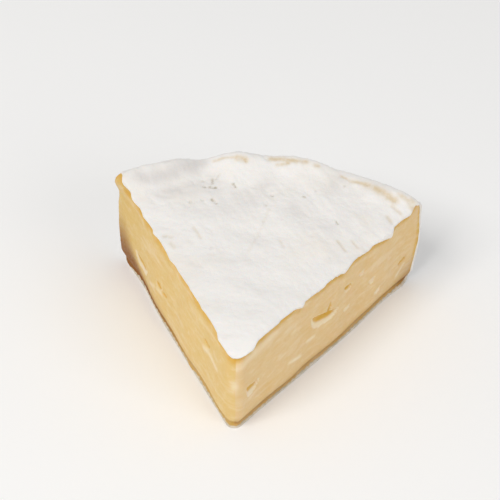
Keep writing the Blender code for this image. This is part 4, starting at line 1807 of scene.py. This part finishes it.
        for side in Side:
            edge = layout.edge(side)
            top = edge[: self.cells + 1]
            foot = edge[-(self.cells + 1) :][::-1]
            rear = np.concatenate([top[-1:], edge[self.cells + 1 : -(self.cells + 1)], foot[-1:]])
            column = (np.arange(1, self.cells) / self.cells)[:, None, None]
            down = shares[None, 1:-1, None]
            places = np.column_stack([plan, height])
            ruled = places[top[1:-1], None] * (1.0 - down) + places[foot[1:-1], None] * down
            rear_ruled = places[top[-1]] * (1.0 - down) + places[foot[-1]] * down
            ruled = ruled + (places[rear[1:-1]][None] - rear_ruled) * column
            grid = np.empty((self.cells + 1, rows), dtype=np.int64)
            grid[:, 0], grid[:, -1], grid[-1], grid[0] = top, foot, rear, tip_column
            inner = count + np.arange((self.cells - 1) * (rows - 2))
            grid[1:-1, 1:-1] = inner.reshape(self.cells - 1, -1)
            plans.append(ruled[..., :2].reshape(-1, 2))
            heights.append(ruled[..., 2].ravel())
            over = np.broadcast_to(skin.crown[top[1:-1], None], (self.cells - 1, rows - 2))
            crowns.append(over.ravel())
            sides.append(side)
            faces.append(sheet_faces(grid, side == Side.RIGHT))
            count += (self.cells - 1) * (rows - 2)

        shares_by_name: dict[str, list[np.ndarray]] = {"gold": [], "pale": [], "brown": [], "ripe": []}
        for part_side, part_plan, part_height, part_crown in zip(sides, plans, heights, crowns):
            shade = self.shades(part_side or Side.RIGHT, part_plan, part_height, part_crown)
            if part_side is None:
                left_shade = self.shades(Side.LEFT, part_plan, part_height, part_crown)
                inward = (part_plan - self.form.tip_point) @ self.form.cut_normal(Side.LEFT)
                is_left = inward > -self.on_cut
                shade = {key: np.where(is_left, left_shade[key], shade[key]) for key in shade}
            for key, values in shade.items():
                shares_by_name[key].append(values)
        points = self.cut.placed(
            np.concatenate(plans), np.concatenate(heights), np.concatenate(crowns), self.relief
        )
        return make_piece(
            "paste_body",
            points,
            np.concatenate(faces),
            {key: np.concatenate(values) for key, values in shares_by_name.items()},
            self.finish.material(),
        )


@dataclass(frozen=True)
class Lamp:
    """A soft square lamp: its place, the length of its side, its power and its colour."""

    name: str
    place: tuple[float, float, float]
    size: float
    watts: float
    colour: tuple[float, float, float]


@dataclass(frozen=True)
class Studio:
    """Pale floor, soft light and the camera."""

    finish: FloorFinish
    floor_size: float = 1.6
    lens: float = 100.8
    sensor: float = 36.0
    azimuth: float = 1.969
    elevation: float = 43.783
    roll: float = 2.876
    distance: float = 0.37647
    target: tuple[float, float, float] = (-0.004725, 0.067637, 0.0)
    nearest: float = 0.01
    world_strength: float = 0.50
    lamp_aim: tuple[float, float, float] = (0.0, 0.0, 0.015)
    surround: tuple[float, float, float] = (1.0, 0.995, 0.985)
    lamps: tuple[Lamp, ...] = (
        Lamp("key_light", (-0.50, -0.55, 0.92), 0.55, 6.6, (1.0, 0.985, 0.965)),
        Lamp("fill_light", (0.75, -0.55, 0.55), 0.60, 2.2, (0.98, 0.985, 1.0)),
    )

    def floor(self) -> bpy.types.Object:
        """A flat square that the wedge rests on.

        Returns:
            The floor.
        """
        half = self.floor_size / 2.0
        corners = [(-half, -half, 0.0), (half, -half, 0.0), (half, half, 0.0), (-half, half, 0.0)]
        mesh = bpy.data.meshes.new("floor")
        mesh.from_pydata(corners, [], [(0, 1, 2, 3)])
        mesh.materials.append(self.finish.material())
        piece = bpy.data.objects.new("floor", mesh)
        bpy.context.scene.collection.objects.link(piece)
        return piece

    def light(self) -> None:
        """Adds the area lights, each aimed at the wedge, and a soft pale surround."""
        for lamp in self.lamps:
            data = bpy.data.lights.new(lamp.name, "AREA")
            data.size = lamp.size
            data.energy = lamp.watts
            data.color = lamp.colour
            light = bpy.data.objects.new(lamp.name, data)
            light.location = lamp.place
            beam = Vector(self.lamp_aim) - Vector(lamp.place)
            light.rotation_euler = beam.to_track_quat("-Z", "Y").to_euler()
            bpy.context.scene.collection.objects.link(light)
        world = bpy.data.worlds.new("surround")
        world.use_nodes = True
        background = world.node_tree.nodes["Background"]
        background.inputs["Color"].default_value = (*self.surround, 1.0)
        background.inputs["Strength"].default_value = self.world_strength
        bpy.context.scene.world = world

    def camera(self) -> bpy.types.Object:
        """The camera looks along the azimuth and elevation at its target, then rolls about its axis.

        Returns:
            The camera, which the scene then uses.
        """
        around, up_angle = math.radians(self.azimuth), math.radians(self.elevation)
        back = Vector(
            (
                math.sin(around) * math.cos(up_angle),
                -math.cos(around) * math.cos(up_angle),
                math.sin(up_angle),
            )
        )
        right = (-back).cross(Vector((0.0, 0.0, 1.0))).normalized()
        up = right.cross(-back)
        lean = math.radians(self.roll)
        across = math.cos(lean) * right + math.sin(lean) * up
        upward = -math.sin(lean) * right + math.cos(lean) * up
        place = Vector(self.target) + Vector(WHEEL_CENTRE) + back * self.distance
        data = bpy.data.cameras.new("camera")
        data.lens = self.lens
        data.sensor_width = self.sensor
        data.clip_start = self.nearest
        eye = bpy.data.objects.new("camera", data)
        facing = Matrix((across, upward, back)).transposed().to_4x4()
        eye.matrix_world = Matrix.Translation(place) @ facing
        bpy.context.scene.collection.objects.link(eye)
        bpy.context.scene.camera = eye
        return eye


def keep(piece: bpy.types.Object) -> None:
    """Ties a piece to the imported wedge, which it stands for, and reports it.

    Args:
        piece: a finished piece.
    """
    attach(piece, BODY)
    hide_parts(NODE)
    triangles = sum(len(face.vertices) - 2 for face in piece.data.polygons)
    LOG.info("%s: %d triangles", piece.name, triangles)


def main() -> None:
    """Builds the paste, the rind and the studio."""
    logging.basicConfig(level=logging.INFO)
    form = WedgeForm()
    cut = CutRelief(form)
    studio = Studio(FloorFinish())
    studio.floor()
    studio.light()
    studio.camera()
    bpy.context.scene.view_settings.view_transform = "Standard"
    mould = MouldFelt()
    keep(PasteBody(form, cut, mould, PasteFinish()).build())
    keep(RindShell(form, cut, mould, RindFinish()).build())


if __name__ == "__main__":
    main()
